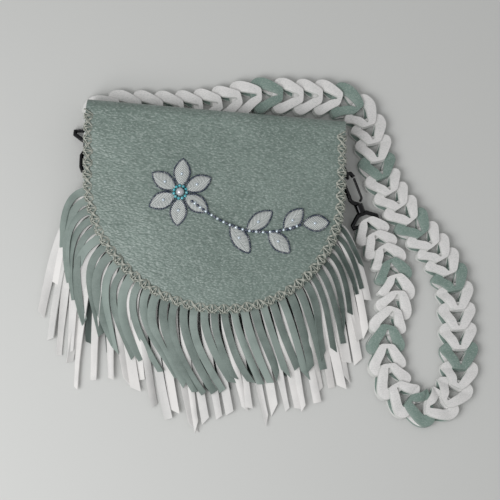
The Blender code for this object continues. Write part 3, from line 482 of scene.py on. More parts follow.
lacing_run = QUARTER + HINGE_Y - ROUND_Y - LACING_STOP
hole_count = round(2 * lacing_run / HOLE_PITCH)
top_lift = PANEL_LEATHER / 2 + CORD_RADIUS
route = []
for hole in range(hole_count):
    at = -lacing_run + HOLE_PITCH / 2 + (2 * lacing_run - HOLE_PITCH) * hole / (hole_count - 1)
    for shift in FAN:
        spot, outward = rim(at + shift * HOLE_SPREAD)
        edge_spot, edge_out = rim(min(max(at + shift, -lacing_run), lacing_run))
        hole_place = spot - outward * HOLE_INSET
        brink = edge_spot + edge_out * EDGE_OUT
        middle = hole_place.lerp(brink, 0.5)
        route.append(over_flap(hole_place, top_lift - 0.0010))
        route.append(over_flap(middle, top_lift + 0.0009))
        route.append(over_flap(edge_spot, top_lift + 0.0004))
        route.append(over_flap(brink, 0.0))
        route.append(over_flap(edge_spot - edge_out * 0.002, -top_lift + 0.0004))
        route.append(over_flap(hole_place + outward * 0.001, -PANEL_LEATHER / 2))
cord_group, radius_input, finish_input = cord_tree()
lacing_cord = grown("lacing_cord", route, [(i, i + 1) for i in range(len(route) - 1)], cord_group,
                    {radius_input: CORD_RADIUS, finish_input: sinew})
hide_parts("lacing")
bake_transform(lacing_cord)

# Fringes
# Three pieces of soft split leather slit into strips up to the seam: sage and white under
# the flap's edge, and a sage one in the bag's own seam, painted darker as its shade. The ends are cut by
# hand.

FRINGE_LEATHER = 0.0012
LAYER_GAP = 0.0012
BAND_WIDTH = 0.0090
STRIP_WIDTH = 0.0086
STRIP_PITCH = 0.0096
FRINGE_FALL = 0.070
FRINGE_SPAN = (-0.186, 0.172)
RIGHT_SHADE_FROM = 0.78
RIGHT_SHADE_RUN = 0.12
BODY_BAND_WIDTH = 0.0060
BODY_FALL = 0.040
BODY_STRIP_PITCH = 0.0150
BODY_SPAN = (-0.150, 0.160)
FRINGE_FLOOR_Z = 0.0006
LAYER_STEP = FRINGE_LEATHER + LAYER_GAP
RIM_UNDERSIDE_Z = FLAP_TOP_Z - FLAP_SAG - PANEL_LEATHER / 2
FRINGE_ROOT_Z = RIM_UNDERSIDE_Z - SEAM_GAP - FRINGE_LEATHER / 2
TOP_LAYER = 2
# Where the strips end, listed: share along the fringe, then x and y
SAGE_HEM = [
    (0.00, -0.1892, -0.0083), (0.08, -0.1746, -0.0531), (0.15, -0.1529, -0.0910), (0.22, -0.1244, -0.1084),
    (0.30, -0.0833, -0.1226), (0.40, -0.0415, -0.1465), (0.50, -0.0067, -0.1385), (0.60, 0.0292, -0.1305),
    (0.70, 0.0600, -0.1199), (0.76, 0.0770, -0.1105), (0.82, 0.0910, -0.1004), (0.87, 0.1040, -0.0783),
    (0.92, 0.1100, -0.0496), (0.96, 0.1150, -0.0274), (1.00, 0.1118, 0.0000),
]
WHITE_HEM = [
    (0.00, -0.2069, -0.0528), (0.06, -0.1901, -0.0992), (0.12, -0.1756, -0.1345), (0.18, -0.1601, -0.1500),
    (0.24, -0.1174, -0.1413), (0.32, -0.0854, -0.1542), (0.40, -0.0505, -0.1787), (0.50, -0.0146, -0.1716),
    (0.60, 0.0263, -0.1651), (0.70, 0.0628, -0.1531), (0.78, 0.0892, -0.1370), (0.85, 0.1070, -0.1223),
    (0.91, 0.1170, -0.0995), (0.96, 0.1220, -0.0712), (1.00, 0.1220, -0.0365),
]
BODY_HEM = [
    (0.000, -0.1900, -0.0500), (0.125, -0.1500, -0.1050), (0.250, -0.0800, -0.1310),
    (0.375, -0.0200, -0.1400), (0.500, 0.0500, -0.1200), (0.625, 0.0980, -0.0850),
    (0.750, 0.1130, -0.0480), (0.875, 0.1110, -0.0250), (1.000, 0.0990, -0.0020),
]
STRIP_ROWS = 18
STRIP_COLUMNS = 4
SHADE_NARROWER = 0.42
SHADE_DARKER = 0.9
STRIP_EDGE = 0.0003
SPLIT_SAGE = "#8E9C96"
SPLIT_SAGE_DARK = "#46534E"
SHADE_SAGE = "#56625E"
SHADE_SAGE_DARK = "#3C4744"
WHITE = "#EAE8E6"
WHITE_GREY = "#C2C3C2"
NAP_MM = 0.9


def split_leather(name, light, dark, roughness):
    """Soft split: a short nap that catches light, each strip a little lighter or darker."""
    material, tree, shader = new_material(name)
    place = object_place(tree)
    own_tone = add_node(tree, "ShaderNodeAttribute", attribute_name="tone")
    nap = add_node(tree, "ShaderNodeTexNoise", {
        "Vector": place, "Scale": 1000.0 / NAP_MM, "Detail": 4.0, "Roughness": 0.7})
    rub = add_node(tree, "ShaderNodeTexNoise", {"Vector": place, "Scale": 60.0, "Detail": 3.0})
    fleck = add_node(tree, "ShaderNodeMath", {0: nap.outputs[0], 1: rub.outputs[0]}, operation="ADD")
    spread = add_node(tree, "ShaderNodeMapRange", {
        "Value": fleck.outputs[0], "From Min": 0.7, "From Max": 1.3, "To Min": -0.25, "To Max": 0.25})
    share = add_node(tree, "ShaderNodeMath", {0: own_tone.outputs["Fac"], 1: spread.outputs[0]},
                     operation="ADD", use_clamp=True)
    flecked = mix_colours(tree, share.outputs[0], linear(dark), linear(light))
    bump = add_node(tree, "ShaderNodeBump", {
        "Height": fleck.outputs[0], "Strength": 0.35, "Distance": 0.0004})
    feed(tree, shader, {"Base Color": flecked, "Normal": bump.outputs[0], "Roughness": roughness})
    return material


# Sage split: the hide's lower layer, sueded and dyed like the flap, so it is dull and soft.
sage_split = split_leather("sage_split_leather", SPLIT_SAGE, SPLIT_SAGE_DARK, 0.62)
# The same split in the bag's own seam, in darker colours that paint the shade it lies in under the bag.
shade_split = split_leather("shade_sage_split_leather", SHADE_SAGE, SHADE_SAGE_DARK, 0.7)
# White garment leather: pigmented and lightly pressed, chalky with a faint sheen.
white_split = split_leather("white_soft_leather", WHITE, WHITE_GREY, 0.55)


def spline_point(knots, value):
    """Point on a smooth curve through knots of (value, x, y)."""
    last = len(knots) - 2
    index = 0
    while index < last and value > knots[index + 1][0]:
        index += 1
    start, end = knots[index], knots[index + 1]
    before = knots[max(index - 1, 0)]
    after = knots[min(index + 2, last + 1)]
    span = end[0] - start[0]
    share = (value - start[0]) / span
    result = []
    for axis in (1, 2):
        slope_start = (end[axis] - before[axis]) / (end[0] - before[0]) * span
        slope_end = (after[axis] - start[axis]) / (after[0] - start[0]) * span
        a = 2 * share**3 - 3 * share**2 + 1
        b = share**3 - 2 * share**2 + share
        c = -2 * share**3 + 3 * share**2
        d = share**3 - share**2
        result.append(a * start[axis] + b * slope_start + c * end[axis] + d * slope_end)
    return Vector(result)


def beyond_rim(x, y):
    """How far a point lies outside the flap's edge."""
    across = (x - centre_x(y)) / FLAP_HALF_WIDTH
    along = min(0.0, (y - ROUND_Y) / FLAP_ROUND_DROP)
    return (math.hypot(across, along) - 1.0) * ROUND_MEAN


def fringe_height(x, y, layer):
    """Middle of a fringe layer: 0 lies on the floor, 1 and 2 fall to it from the flap."""
    lying = FRINGE_FLOOR_Z + LAYER_STEP * layer
    out = beyond_rim(x, y)
    if layer == 0:
        near_bag = 1.0 - min(max(out / BODY_FALL, 0.0), 1.0)
        return lying + (back_height(y) - BACK_FLOOR_Z) * near_bag
    below = LAYER_STEP * (TOP_LAYER - layer)
    seam = FRINGE_ROOT_Z - below + flap_height(x, y) - FLAP_TOP_Z + FLAP_SAG
    fall = min(max(out, 0.0) / FRINGE_FALL, 1.0)
    return seam + (lying - seam) * (0.5 * fall + 0.5 * smooth_step(fall))


def make_strips(name, hem, layer, band, span, pitch, shape, material, seed):
    """Strips that hang from an uncut band; each has its own sway, curl, twist and cut.

    band is how far the band and the strips' roots lie inside the rim, span where it starts and
    ends along the rim, and shape the bow at the left and right end, the narrowest and widest
    strip as shares of STRIP_WIDTH, and how far the right end is shaded.
    """
    chance = random.Random(seed)
    band_inset, root_inset = band
    left_u, right_u = span
    left_bow, right_bow, narrowest, widest, right_shade = shape
    count = round((right_u - left_u) / pitch)
    rows = STRIP_ROWS
    columns = STRIP_COLUMNS
    points = []
    faces = []
    tones = []
    for j in range(count):
        near_u = left_u + (right_u - left_u) * j / count
        far_u = left_u + (right_u - left_u) * (j + 1) / count
        near, near_out = rim(near_u, root_inset)
        far, far_out = rim(far_u, root_inset)
        near_in = rim(near_u, band_inset)[0]
        far_in = rim(far_u, band_inset)[0]
        share = (j + 0.5) / count
        # Strips on the left lie wilder than those on the right
        wild = 1.0 - 0.75 * smooth_step(share * 1.4)
        tip = spline_point(hem, share)
        root = (near + far) / 2
        outward = (near_out + far_out).normalized()
        tip = root.lerp(tip, 1.0 - 0.16 * chance.random() ** 2)
        shift = Vector((chance.uniform(-1, 1), chance.uniform(-0.3, 0.3)))
        tip = tip + shift * (0.0022 + 0.0050 * wild)
        bow = (left_bow + (right_bow - left_bow) * share) * chance.uniform(0.75, 1.2)
        pull = root + outward * (tip - root).length * bow
        shaded = right_shade * smooth_step((share - RIGHT_SHADE_FROM) / RIGHT_SHADE_RUN)
        half = STRIP_WIDTH / 2 * chance.uniform(narrowest, widest) * (1.0 - SHADE_NARROWER * shaded)
        sway = (0.0010 + 0.0026 * wild) * chance.uniform(-1, 1)
        beats = chance.uniform(1.0, 2.0)
        ripple = chance.uniform(0.0003, 0.0012)
        phase = chance.uniform(0, math.tau)
        twist = math.radians(18 + 30 * wild) * chance.uniform(-1, 1)
        shingle = math.radians(9 * (1.0 - smooth_step(share * 3)) - 7 * smooth_step(share * 3 - 2))
        cut = chance.choice((0.0, 0.0015, 0.003, 0.0055)) * chance.choice((-1, 1))
        taper = chance.choice((0.0, 0.0, 0.15, 0.35))
        camber = chance.uniform(-0.0006, 0.0010)
        tone = (0.45 + 0.55 * chance.random()) * (1.0 - SHADE_DARKER * shaded)
        base = len(points)
        for row in range(-1, rows + 1):
            t = max(row, 0) / rows
            middle = root * (1 - t) ** 2 + pull * (2 * t * (1 - t)) + tip * t**2
            heading = ((pull - root) * (1 - t) + (tip - pull) * t).normalized()
            across = Vector((-heading.y, heading.x))
            middle = middle + across * sway * math.sin(math.pi * t * beats) * t
            roll = shingle * smooth_step(t * 4) + twist * t
            wide = half * (1.0 - taper * smooth_step((t - 0.7) / 0.3))
            for column in range(columns + 1):
                s = 2 * column / columns - 1
                if row < 0:
                    p = near_in.lerp(far_in, column / columns)
                    lift = 0.0
                elif row == 0:
                    p = near.lerp(far, column / columns)
                    lift = 0.0
                else:
                    p = middle + across * s * wide * math.cos(roll)
                    lift = s * wide * math.sin(roll) + camber * (1 - s * s) * min(1.0, t * 4)
                    lift += ripple * math.sin(math.tau * t * beats + phase) * t
                p = p + heading * cut * s * smooth_step((t - 0.85) / 0.15)
                z = fringe_height(p.x, p.y, layer) + lift
                points.append((p.x, p.y, max(z, FRINGE_FLOOR_Z)))
                tones.append(tone)
        faces += grid_faces(rows + 1, columns, base)
    piece = new_piece(name, points, faces, material)
    attribute = piece.data.attributes.new("tone", "FLOAT", "POINT")
    attribute.data.foreach_set("value", tones)
    thicken(piece, FRINGE_LEATHER, rounding=STRIP_EDGE)
    return piece


flap_band = (BAND_WIDTH, 0.0)
sage_fringe = make_strips("sage_fringe", SAGE_HEM, 2, flap_band, FRINGE_SPAN, STRIP_PITCH,
                          (0.45, 0.22, 0.74, 1.02, 1.0), sage_split, 11)
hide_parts("flap_fringe_sage")
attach(sage_fringe, "flap")
white_fringe = make_strips("white_fringe", WHITE_HEM, 1, flap_band, FRINGE_SPAN, STRIP_PITCH,
                           (0.22, 0.15, 0.85, 1.12, 0.0), white_split, 23)
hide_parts("flap_fringe_white")
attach(white_fringe, "flap")
body_seat = POUCH_INSET - SEAM_GAP
body_band = (body_seat, body_seat - BODY_BAND_WIDTH)
seam_fringe = make_strips("seam_fringe", BODY_HEM, 0, body_band, BODY_SPAN, BODY_STRIP_PITCH,
                          (0.42, 0.12, 0.75, 1.0, 0.0), shade_split, 37)
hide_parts("body_fringe")
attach(seam_fringe, "bag")

# Strap
# A chain of leather rings, each folded in half and drawn through the next one's fold. The
# leather is sage on one side and white on the other; every fourth ring is turned sage side out.

# The groove colours below are painted shade for the grooves between the pebbles.
STRAP_WHITE = "#EDEBEA"
STRAP_WHITE_DYE = "#E4E2E1"
STRAP_WHITE_GROOVE_SHADE = "#C9C9C8"
STRAP_SAGE = "#83988F"
STRAP_SAGE_DYE = "#768B83"
STRAP_SAGE_GROOVE_SHADE = "#5F736C"
STRAP_PEBBLE_MM = 0.9
STRAP_CREASE_MM = 14.0
LINK_LEATHER = 0.0018
GAP = 0.0003
LINK_PITCH = 0.0200
FOLD_HALF = 0.0074
HOLE_TIP = 0.0046
STRAP_LEAN = 0.45
SHARP_EDGE = math.radians(32)
FIRST_LINK = -4
LAST_LINK = 39
LAST_HIDDEN_LINK = 1
SAGE_EVERY = 4
FOLD_RISE = LINK_LEATHER + 1.5 * GAP
BAR_RISE = GAP / 2
STRAP_MID_Z = FOLD_RISE + LINK_LEATHER
ROUTE = [
    (-7.0, -0.1770, 0.0855), (-6.0, -0.1752, 0.1055), (-5.0, -0.1670, 0.1232), (-4.0, -0.1490, 0.1320),
    (-3.0, -0.1275, 0.1340), (-1.0, -0.0850, 0.1375), (1.0, -0.0470, 0.1450), (3.0, -0.0083, 0.1572),
    (5.0, 0.0338, 0.1600), (7.0, 0.0723, 0.1607), (8.0, 0.0920, 0.1535), (9.0, 0.1045, 0.1390),
    (10.0, 0.1115, 0.1218), (12.0, 0.1236, 0.0875), (14.0, 0.1425, 0.0592), (16.0, 0.1664, 0.0338),
    (18.0, 0.1878, 0.0105), (20.0, 0.2038, -0.0182), (22.0, 0.2102, -0.0565), (24.0, 0.2148, -0.0945),
    (25.0, 0.2130, -0.1130), (26.0, 0.2040, -0.1300), (27.0, 0.1875, -0.1385), (28.0, 0.1695, -0.1350),
    (29.0, 0.1545, -0.1225), (30.0, 0.1448, -0.1040), (32.0, 0.1410, -0.0660), (34.0, 0.1475, -0.0310),
    (36.0, 0.1385, 0.0000), (38.0, 0.1208, 0.0255), (40.0, 0.1042, 0.0518),
]
# Half of a ring's outline: outer back, outer across, inner back, inner across, rise
RING_HALF = [
    (0.0002, 0.0000, 0.0046, 0.0000, FOLD_RISE),
    (0.0004, 0.0048, 0.0047, 0.0004, FOLD_RISE),
    (0.0022, 0.0078, 0.0052, 0.0010, FOLD_RISE),
    (0.0108, 0.0134, 0.0112, 0.0029, FOLD_RISE),
    (0.0165, 0.0171, 0.0162, 0.0055, FOLD_RISE * 0.55),
    (0.0207, 0.0185, 0.0200, 0.0071, BAR_RISE),
    (0.0252, 0.0173, 0.0216, 0.0072, BAR_RISE),
    (0.0284, 0.0128, 0.0221, 0.0060, BAR_RISE),
    (0.0290, 0.0050, 0.0221, 0.0025, BAR_RISE),
]
STEPS_BETWEEN = 3
BEND_STEPS = 8
# Section of the leather: share from outer to inner edge, share of the thickness
SECTION = [(0.0, 0.14), (0.0, 0.86), (0.03, 1.0), (0.5, 1.04), (0.97, 1.0), (1.0, 0.86),
           (1.0, 0.14), (0.97, 0.0), (0.5, 0.0), (0.03, 0.0)]
EDGE_SIDES = (0, 1, 4, 5, 6, 9)
TOP_SIDES = (2, 3)

# Smooth cowhide: pressed under a hot plate, white pigment on one side and sage on the other, so
# that it has hardly any grain and a soft even sheen.
white_leather = grain_leather("white_smooth_cowhide", STRAP_WHITE, STRAP_WHITE_DYE, STRAP_WHITE_GROOVE_SHADE,
                              STRAP_PEBBLE_MM, STRAP_CREASE_MM, 0.00008, roughness=0.42)
sage_face = grain_leather("sage_smooth_cowhide", STRAP_SAGE, STRAP_SAGE_DYE, STRAP_SAGE_GROOVE_SHADE,
                          STRAP_PEBBLE_MM, STRAP_CREASE_MM, 0.0001, roughness=0.5)
# Cut edges: raw fibre that the die leaves, pale and without any sheen.
white_edge = split_leather("white_cut_edge", "#DEDDDA", "#BFC3C0", 0.8)
sage_edge = split_leather("sage_cut_edge", "#9AA9A2", "#7C8D86", 0.8)


def on_strap(number, back, across, up):
    """Place a point of a ring, measured back from its fold, on the strap's curve."""
    value = number + (HOLE_TIP - back) / LINK_PITCH
    step = 0.05
    point = spline_point(ROUTE, value)
    ahead = spline_point(ROUTE, value + step) - spline_point(ROUTE, value - step)
    ahead.normalize()
    side = Vector((-ahead.y, ahead.x))
    place = point + side * across
    lean = STRAP_LEAN * up
    return (place.x + lean, place.y + lean, STRAP_MID_Z + up)


def ring_outline():
    """All stations round a ring, from the fold and back to it, finely divided."""
    right = [(back, -across, hole_back, -hole_across, rise)
             for back, across, hole_back, hole_across, rise in reversed(RING_HALF[1:])]
    stations = RING_HALF + right
    count = len(stations)
    fine = []
    for index in range(count):
        near = [stations[(index + k) % count] for k in (-1, 0, 1, 2)]
        for step in range(STEPS_BETWEEN):
            t = step / STEPS_BETWEEN
            fine.append([0.5 * (2 * b + (c - a) * t + (2 * a - 5 * b + 4 * c - d) * t * t
                                + (3 * b - a - 3 * c + d) * t**3) for a, b, c, d in zip(*near)])
    return fine


def add_link(number, outline, points, faces, finishes):
    """Two halves of one folded ring and the bend between them; finishes are face, back and edge."""
    ring_count = len(outline)
    side_count = len(SECTION)
    for half in (1, -1):
        base = len(points)
        for outer_back, outer_across, inner_back, inner_across, rise in outline:
            for share, height in SECTION:
                back = outer_back + (inner_back - outer_back) * share
                across = outer_across + (inner_across - outer_across) * share
                up = half * (rise + LINK_LEATHER * height)
                points.append(on_strap(number, back, across, up))
        for station in range(ring_count):
            after = (station + 1) % ring_count
            for side in range(side_count):
                turn = (side + 1) % side_count
                a = base + station * side_count + side
                b = base + after * side_count + side
                c = base + after * side_count + turn
                d = base + station * side_count + turn
                faces.append((a, b, c, d) if half > 0 else (d, c, b, a))
                if side in EDGE_SIDES:
                    finishes.append(2)
                else:
                    finishes.append(0 if side in TOP_SIDES else 1)
    base = len(points)
    inner_z = FOLD_RISE + 0.0002
    outer_z = FOLD_RISE + LINK_LEATHER - 0.0001
    wide = FOLD_HALF - 0.0004
    for step in range(BEND_STEPS + 1):
        angle = math.pi / 2 - math.pi * step / BEND_STEPS
        for reach_z, reach_back, across in ((outer_z, 0.0024, wide), (outer_z, 0.0024, -wide),
                                            (inner_z, 0.0010, -wide), (inner_z, 0.0010, wide)):
            points.append(on_strap(number, 0.0026 - reach_back * math.cos(angle), across,
                                   reach_z * math.sin(angle)))
    for step in range(BEND_STEPS):
        for side in range(4):
            turn = (side + 1) % 4
            a = base + step * 4 + side
            b = base + (step + 1) * 4 + side
            c = base + (step + 1) * 4 + turn
            d = base + step * 4 + turn
            faces.append((a, d, c, b))
            finishes.append((0, 2, 1, 2)[side])


def make_links(name, numbers, finish_set):
    """All rings of one colour as one piece."""
    outline = ring_outline()
    points = []
    faces = []
    finishes = []
    for number in numbers:
        add_link(number, outline, points, faces, finishes)
    piece = new_piece(name, points, faces, finish_set[0])
    piece.data.materials.append(finish_set[1])
    piece.data.materials.append(finish_set[2])
    piece.data.polygons.foreach_set("material_index", finishes)
    piece.data.set_sharp_from_angle(angle=SHARP_EDGE)
    tone = piece.data.attributes.new("tone", "FLOAT", "POINT")
    tone.data.foreach_set("value", [0.5] * len(points))
    return piece


numbers = range(FIRST_LINK, LAST_LINK + 1)
white_numbers = [n for n in numbers if n % SAGE_EVERY or n <= LAST_HIDDEN_LINK]
sage_numbers = [n for n in numbers if n not in white_numbers]
white_links = make_links("white_strap_links", white_numbers, (white_leather, sage_face, white_edge))
sage_links = make_links("sage_strap_links", sage_numbers, (sage_face, white_leather, sage_edge))


def link_nodes(link_numbers):
    """Names of the rings' own solids; the hidden rings share one."""
    return [f"strap_link_{n - LAST_HIDDEN_LINK:02d}" for n in link_numbers if n > LAST_HIDDEN_LINK]


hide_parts("strap_links_under_bag", *link_nodes(white_numbers))
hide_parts(*link_nodes(sage_numbers))
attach(white_links, "bag")
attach(sage_links, "bag")

# Hooks, rings and tabs at the sides
# A leather tab sewn to each side holds a dee ring, and a swivel snap hook joins it to the
# strap: die-cast zinc, plated gloss black, with a sprung wire gate.

EYE_SWELL = 0.00085
HOOK_SWELL = 0.00055
RING_SWELL = 0.00020
GATE_SWELL = 0.00020
CAST_GRAIN = 0.00042
TUMBLING = 12
TAB_EDGE = 0.0004
WELD = 0.00001
PLATING = "#17171A"

# Black-plated zinc: tumbled smooth and plated, so it mirrors the lamp, a little dulled by handling.
black_plate, tree, shader = new_material("black_plated_zinc")
scuffs = add_node(tree, "ShaderNodeTexNoise", {"Vector": object_place(tree), "Scale": 900.0, "Detail": 3.0})
gloss = add_node(tree, "ShaderNodeMapRange", {"Value": scuffs.outputs[0], "To Min": 0.12, "To Max": 0.32})
feed(tree, shader, {"Base Color": linear(PLATING), "Metallic": 1.0, "Roughness": gloss.outputs[0],
                    "Coat Weight": 0.6, "Coat Roughness": 0.04})


def dress(node, name, material, body, rounding=0.0, swell=0.0):
    """Merged copy of a CAD piece that stands for it: cut leather, or metal cast round and smooth."""
    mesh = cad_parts[node].data.copy()
    build = bmesh.new()
    build.from_mesh(mesh)
    bmesh.ops.remove_doubles(build, verts=build.verts, dist=WELD)
    if rounding:
        bmesh.ops.dissolve_limit(build, angle_limit=math.radians(2), verts=build.verts, edges=build.edges)
    else:
        build.normal_update()
        for vertex, normal in [(v, v.normal.copy()) for v in build.verts]:
            vertex.co += normal * swell
    build.to_mesh(mesh)
    build.free()
    mesh.materials.clear()
    mesh.materials.append(material)
    mesh.shade_smooth()
    piece = add_object(name, mesh)
    if rounding:
        round_edges(piece, rounding, 3)
    else:
        cast = piece.modifiers.new("cast as one", "REMESH")
        cast.mode = "VOXEL"
        cast.voxel_size = CAST_GRAIN
        cast.use_smooth_shade = True
        tumbled = piece.modifiers.new("tumbled smooth", "SMOOTH")
        tumbled.factor = 0.5
        tumbled.iterations = TUMBLING
    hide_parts(node)
    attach(piece, body)


def dress_metal(node, name, body, swell):
    dress(node, name, black_plate, body, swell=swell)


for side in ("left", "right"):
    dress(f"{side}_side_tab", f"{side}_leather_tab", white_edge, "bag", rounding=TAB_EDGE)
    dress_metal(f"{side}_dee_ring", f"{side}_black_ring", f"{side}_ring", RING_SWELL)
    dress_metal(f"{side}_swivel_eye", f"{side}_black_eye", "bag", EYE_SWELL)
    dress_metal(f"{side}_hook", f"{side}_black_hook", f"{side}_hook", HOOK_SWELL)
    dress_metal(f"{side}_gate", f"{side}_black_gate", f"{side}_gate", GATE_SWELL)
dress("strap_keeper", "white_strap_keeper", white_leather, "bag", rounding=TAB_EDGE)

# Beadwork sprig
# A flower and a leafy stem worked on the flap: padded satin stitch in silver thread, edged
# with navy seed beads, with pearl, crystal and turquoise beads sewn on last.

SPRIG_X = -0.0730
SPRIG_Y = 0.0500
PETALS = 6
PETAL_LENGTH = 0.0330
PETAL_HALF = 0.0082
HUB_RADIUS = 0.0100
STEM_REACH = 0.125
STEM_DIP = 0.030
STEM_BEND = 2.6
STEM_DROP = 0.004
LEAF_LENGTH = 0.0330
LEAF_HALF = 0.0080
PADDING = 0.0013
EDGE_RISE = 0.0002
VEIN_DEPTH = 0.0006
THREAD_LAYER = 0.0005
PETAL_COLUMNS = 8
THREAD_SLANT = 0.8
SEED_RADIUS = 0.00095
SEED_PITCH = 0.0020
STEM_BEAD = 0.0016
STEM_BEAD_GAP = 2.1
STEM_STEPS = 60
CROWN_BEADS = 11
CROWN_RADIUS = 0.0062
CROWN_BEAD = 0.0016
PEARL_RADIUS = 0.0042
CRYSTAL_RADIUS = 0.0015
CRYSTAL_PLACE = 0.45
RIDGE_WIDTH = 0.0017
THREAD_SHADE = "#84928C"
THREAD_HIGHLIGHT = "#FAFBFB"
LEAF_SHAPE = [(0.0, 0.15), (0.12, 0.50), (0.25, 0.78), (0.40, 0.95), (0.55, 1.0), (0.70, 0.85),
              (0.85, 0.55), (0.95, 0.25), (1.0, 0.03)]
# Leaves of the stem: place along it, and the way that they point
LEAVES = ((0.42, -0.9), (0.55, 0.75), (0.72, -0.7), (0.84, 0.95), (0.985, 0.15))

# Silver thread: metal foil wound on a core and laid side by side in ridges. Each ridge's colour carries a
# painted highlight on its crown and painted shade beside it. The thread is too fine to show, so each ridge
# is drawn as wide as several threads.
silver_thread, tree, shader = new_material("silver_metallic_thread")
along_petal = add_node(tree, "ShaderNodeAttribute", attribute_name="thread")
turns = add_node(tree, "ShaderNodeMath", {0: along_petal.outputs["Fac"], 1: math.tau / RIDGE_WIDTH},
                 operation="MULTIPLY")
ridge = add_node(tree, "ShaderNodeMath", {0: turns.outputs[0]}, operation="SINE")
round_thread = add_node(tree, "ShaderNodeBump", {
    "Height": ridge.outputs[0], "Strength": 0.7, "Distance": 0.0004})
ridge_share = add_node(tree, "ShaderNodeMapRange", {
    "Value": ridge.outputs[0], "From Min": -1.0, "From Max": 1.0})
stitched = mix_colours(tree, ridge_share.outputs[0], linear(THREAD_SHADE), linear(THREAD_HIGHLIGHT))
feed(tree, shader, {"Base Color": stitched, "Normal": round_thread.outputs[0], "Metallic": 0.15,
                    "Roughness": 0.35})


def bead_material(name, colour, roughness, metallic):
    """Bead surface: a clear skin over its colour, with lighter specks from bead to bead."""
    material, tree, shader = new_material(name)
    speck = add_node(tree, "ShaderNodeTexNoise", {
        "Vector": object_place(tree), "Scale": 300.0, "Detail": 1.0})
    share = add_node(tree, "ShaderNodeMapRange", {
        "Value": speck.outputs[0], "From Min": 0.45, "From Max": 0.75, "To Max": 0.25})
    speckled = mix_colours(tree, share.outputs[0], linear(colour), linear("#FFFFFF"))
    feed(tree, shader, {"Base Color": speckled, "Metallic": metallic, "Roughness": roughness,
                        "Coat Weight": 1.0})
    return material


# Navy seed beads: drawn glass, fire-polished, deep blue with sharp glints.
navy_glass = bead_material("navy_seed_bead_glass", "#14294A", roughness=0.12, metallic=0.3)
# Turquoise beads: opaque pressed glass, bright and wet-looking.
turquoise_glass = bead_material("turquoise_bead_glass", "#3FB7C4", roughness=0.1, metallic=0.2)
# Grey glass pearl: dipped in pearl lacquer, which gives a broad silky light.
pearl = bead_material("grey_glass_pearl", "#C9CCD2", roughness=0.22, metallic=0.4)
# Cut crystal: foiled behind, so it throws back nearly all light.
crystal = bead_material("clear_cut_crystal", "#D8E6F2", roughness=0.05, metallic=0.6)


def bead_tree():
    """Geometry Nodes: a round bead of its own radius on every point."""
    group = bpy.data.node_groups.new("sewn_beads", "GeometryNodeTree")
    group.interface.new_socket("Points", in_out="INPUT", socket_type="NodeSocketGeometry")
    finish = group.interface.new_socket("Finish", in_out="INPUT", socket_type="NodeSocketMaterial")
    size = group.interface.new_socket("Bead radius", in_out="INPUT", socket_type="NodeSocketFloat")
    group.interface.new_socket("Beads", in_out="OUTPUT", socket_type="NodeSocketGeometry")
    entry = add_node(group, "NodeGroupInput")
    ball = add_node(group, "GeometryNodeMeshUVSphere", {
        "Segments": 10, "Rings": 6, "Radius": entry.outputs["Bead radius"]})
    sewn = add_node(group, "GeometryNodeInstanceOnPoints", {
        "Points": entry.outputs["Points"], "Instance": ball.outputs[0]})
    close_tree(group, sewn, entry.outputs["Finish"], "Beads")
    return group, finish.identifier, size.identifier


def stem_point(share):
    """The stem leaves the flower and runs down to the right in a low curve."""
    dip = STEM_DIP * math.sin(share * STEM_BEND) + STEM_DROP * share
    return Vector((SPRIG_X + STEM_REACH * share, SPRIG_Y - dip))


def toward(angle):
    return Vector((math.cos(angle), math.sin(angle)))


def leaf_edge(root, heading, length, half):
    """Outline of a petal or leaf, from its root round to its root."""
    ahead = toward(heading)
    side = Vector((-ahead.y, ahead.x))
    left = [root + ahead * (a * length) + side * (s * half) for a, s in LEAF_SHAPE]
    right = [root + ahead * (a * length) - side * (s * half) for a, s in reversed(LEAF_SHAPE)]
    return left + right


def along_line(line, pitch):
    """Points at an even pitch along a polyline."""
    found = []
    carried = 0.0
    for start, end in zip(line, line[1:]):
        length = (end - start).length
        while carried <= length:
            found.append(start.lerp(end, carried / length))
            carried += pitch
        carried -= length
    return found


on_flap = PANEL_LEATHER / 2
hub = Vector((SPRIG_X, SPRIG_Y))
petal_root = HUB_RADIUS * 0.6
leaves = []
for petal in range(PETALS):
    heading = math.tau * (petal + 0.5) / PETALS
    leaves.append((hub + toward(heading) * petal_root, heading, PETAL_LENGTH - petal_root, PETAL_HALF))
for share, turn in LEAVES:
    leaves.append((stem_point(share), turn, LEAF_LENGTH * (1.15 - 0.4 * share), LEAF_HALF))

sprig_points = []
sprig_faces = []
threads = []
for root, heading, length, half in leaves:
    ahead = toward(heading)
    side = Vector((-ahead.y, ahead.x))
    base = len(sprig_points)
    for along, wide in LEAF_SHAPE:
        for column in range(PETAL_COLUMNS + 1):
            s = 2 * column / PETAL_COLUMNS - 1
            p = root + ahead * (along * length) + side * (s * wide * half)
            rise = PADDING * (1 - s * s) * min(1.0, 3 * wide) + EDGE_RISE
            vein = VEIN_DEPTH * math.exp(-((s / 0.12) ** 2))
            sprig_points.append((p.x, p.y, flap_height(p.x, p.y) + on_flap + rise - vein))
            threads.append(along * length - abs(s) * wide * half * THREAD_SLANT)
    sprig_faces += grid_faces(len(LEAF_SHAPE) - 1, PETAL_COLUMNS, base)
satin_petals = new_piece("satin_petals", sprig_points, sprig_faces, silver_thread)
thread_attribute = satin_petals.data.attributes.new("thread", "FLOAT", "POINT")
thread_attribute.data.foreach_set("value", threads)
thicken(satin_petals, THREAD_LAYER)
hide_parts("beadwork_sprig")
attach(satin_petals, "flap")

bead_group, bead_finish, bead_size = bead_tree()


def sew_beads(name, places, radius, material):
    """Beads of one kind, sewn down on the flap."""
    points = [over_flap(p, on_flap + radius * 0.9) for p in places]
    beads = grown(name, points, [], bead_group, {bead_finish: material, bead_size: radius})
    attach(beads, "flap")


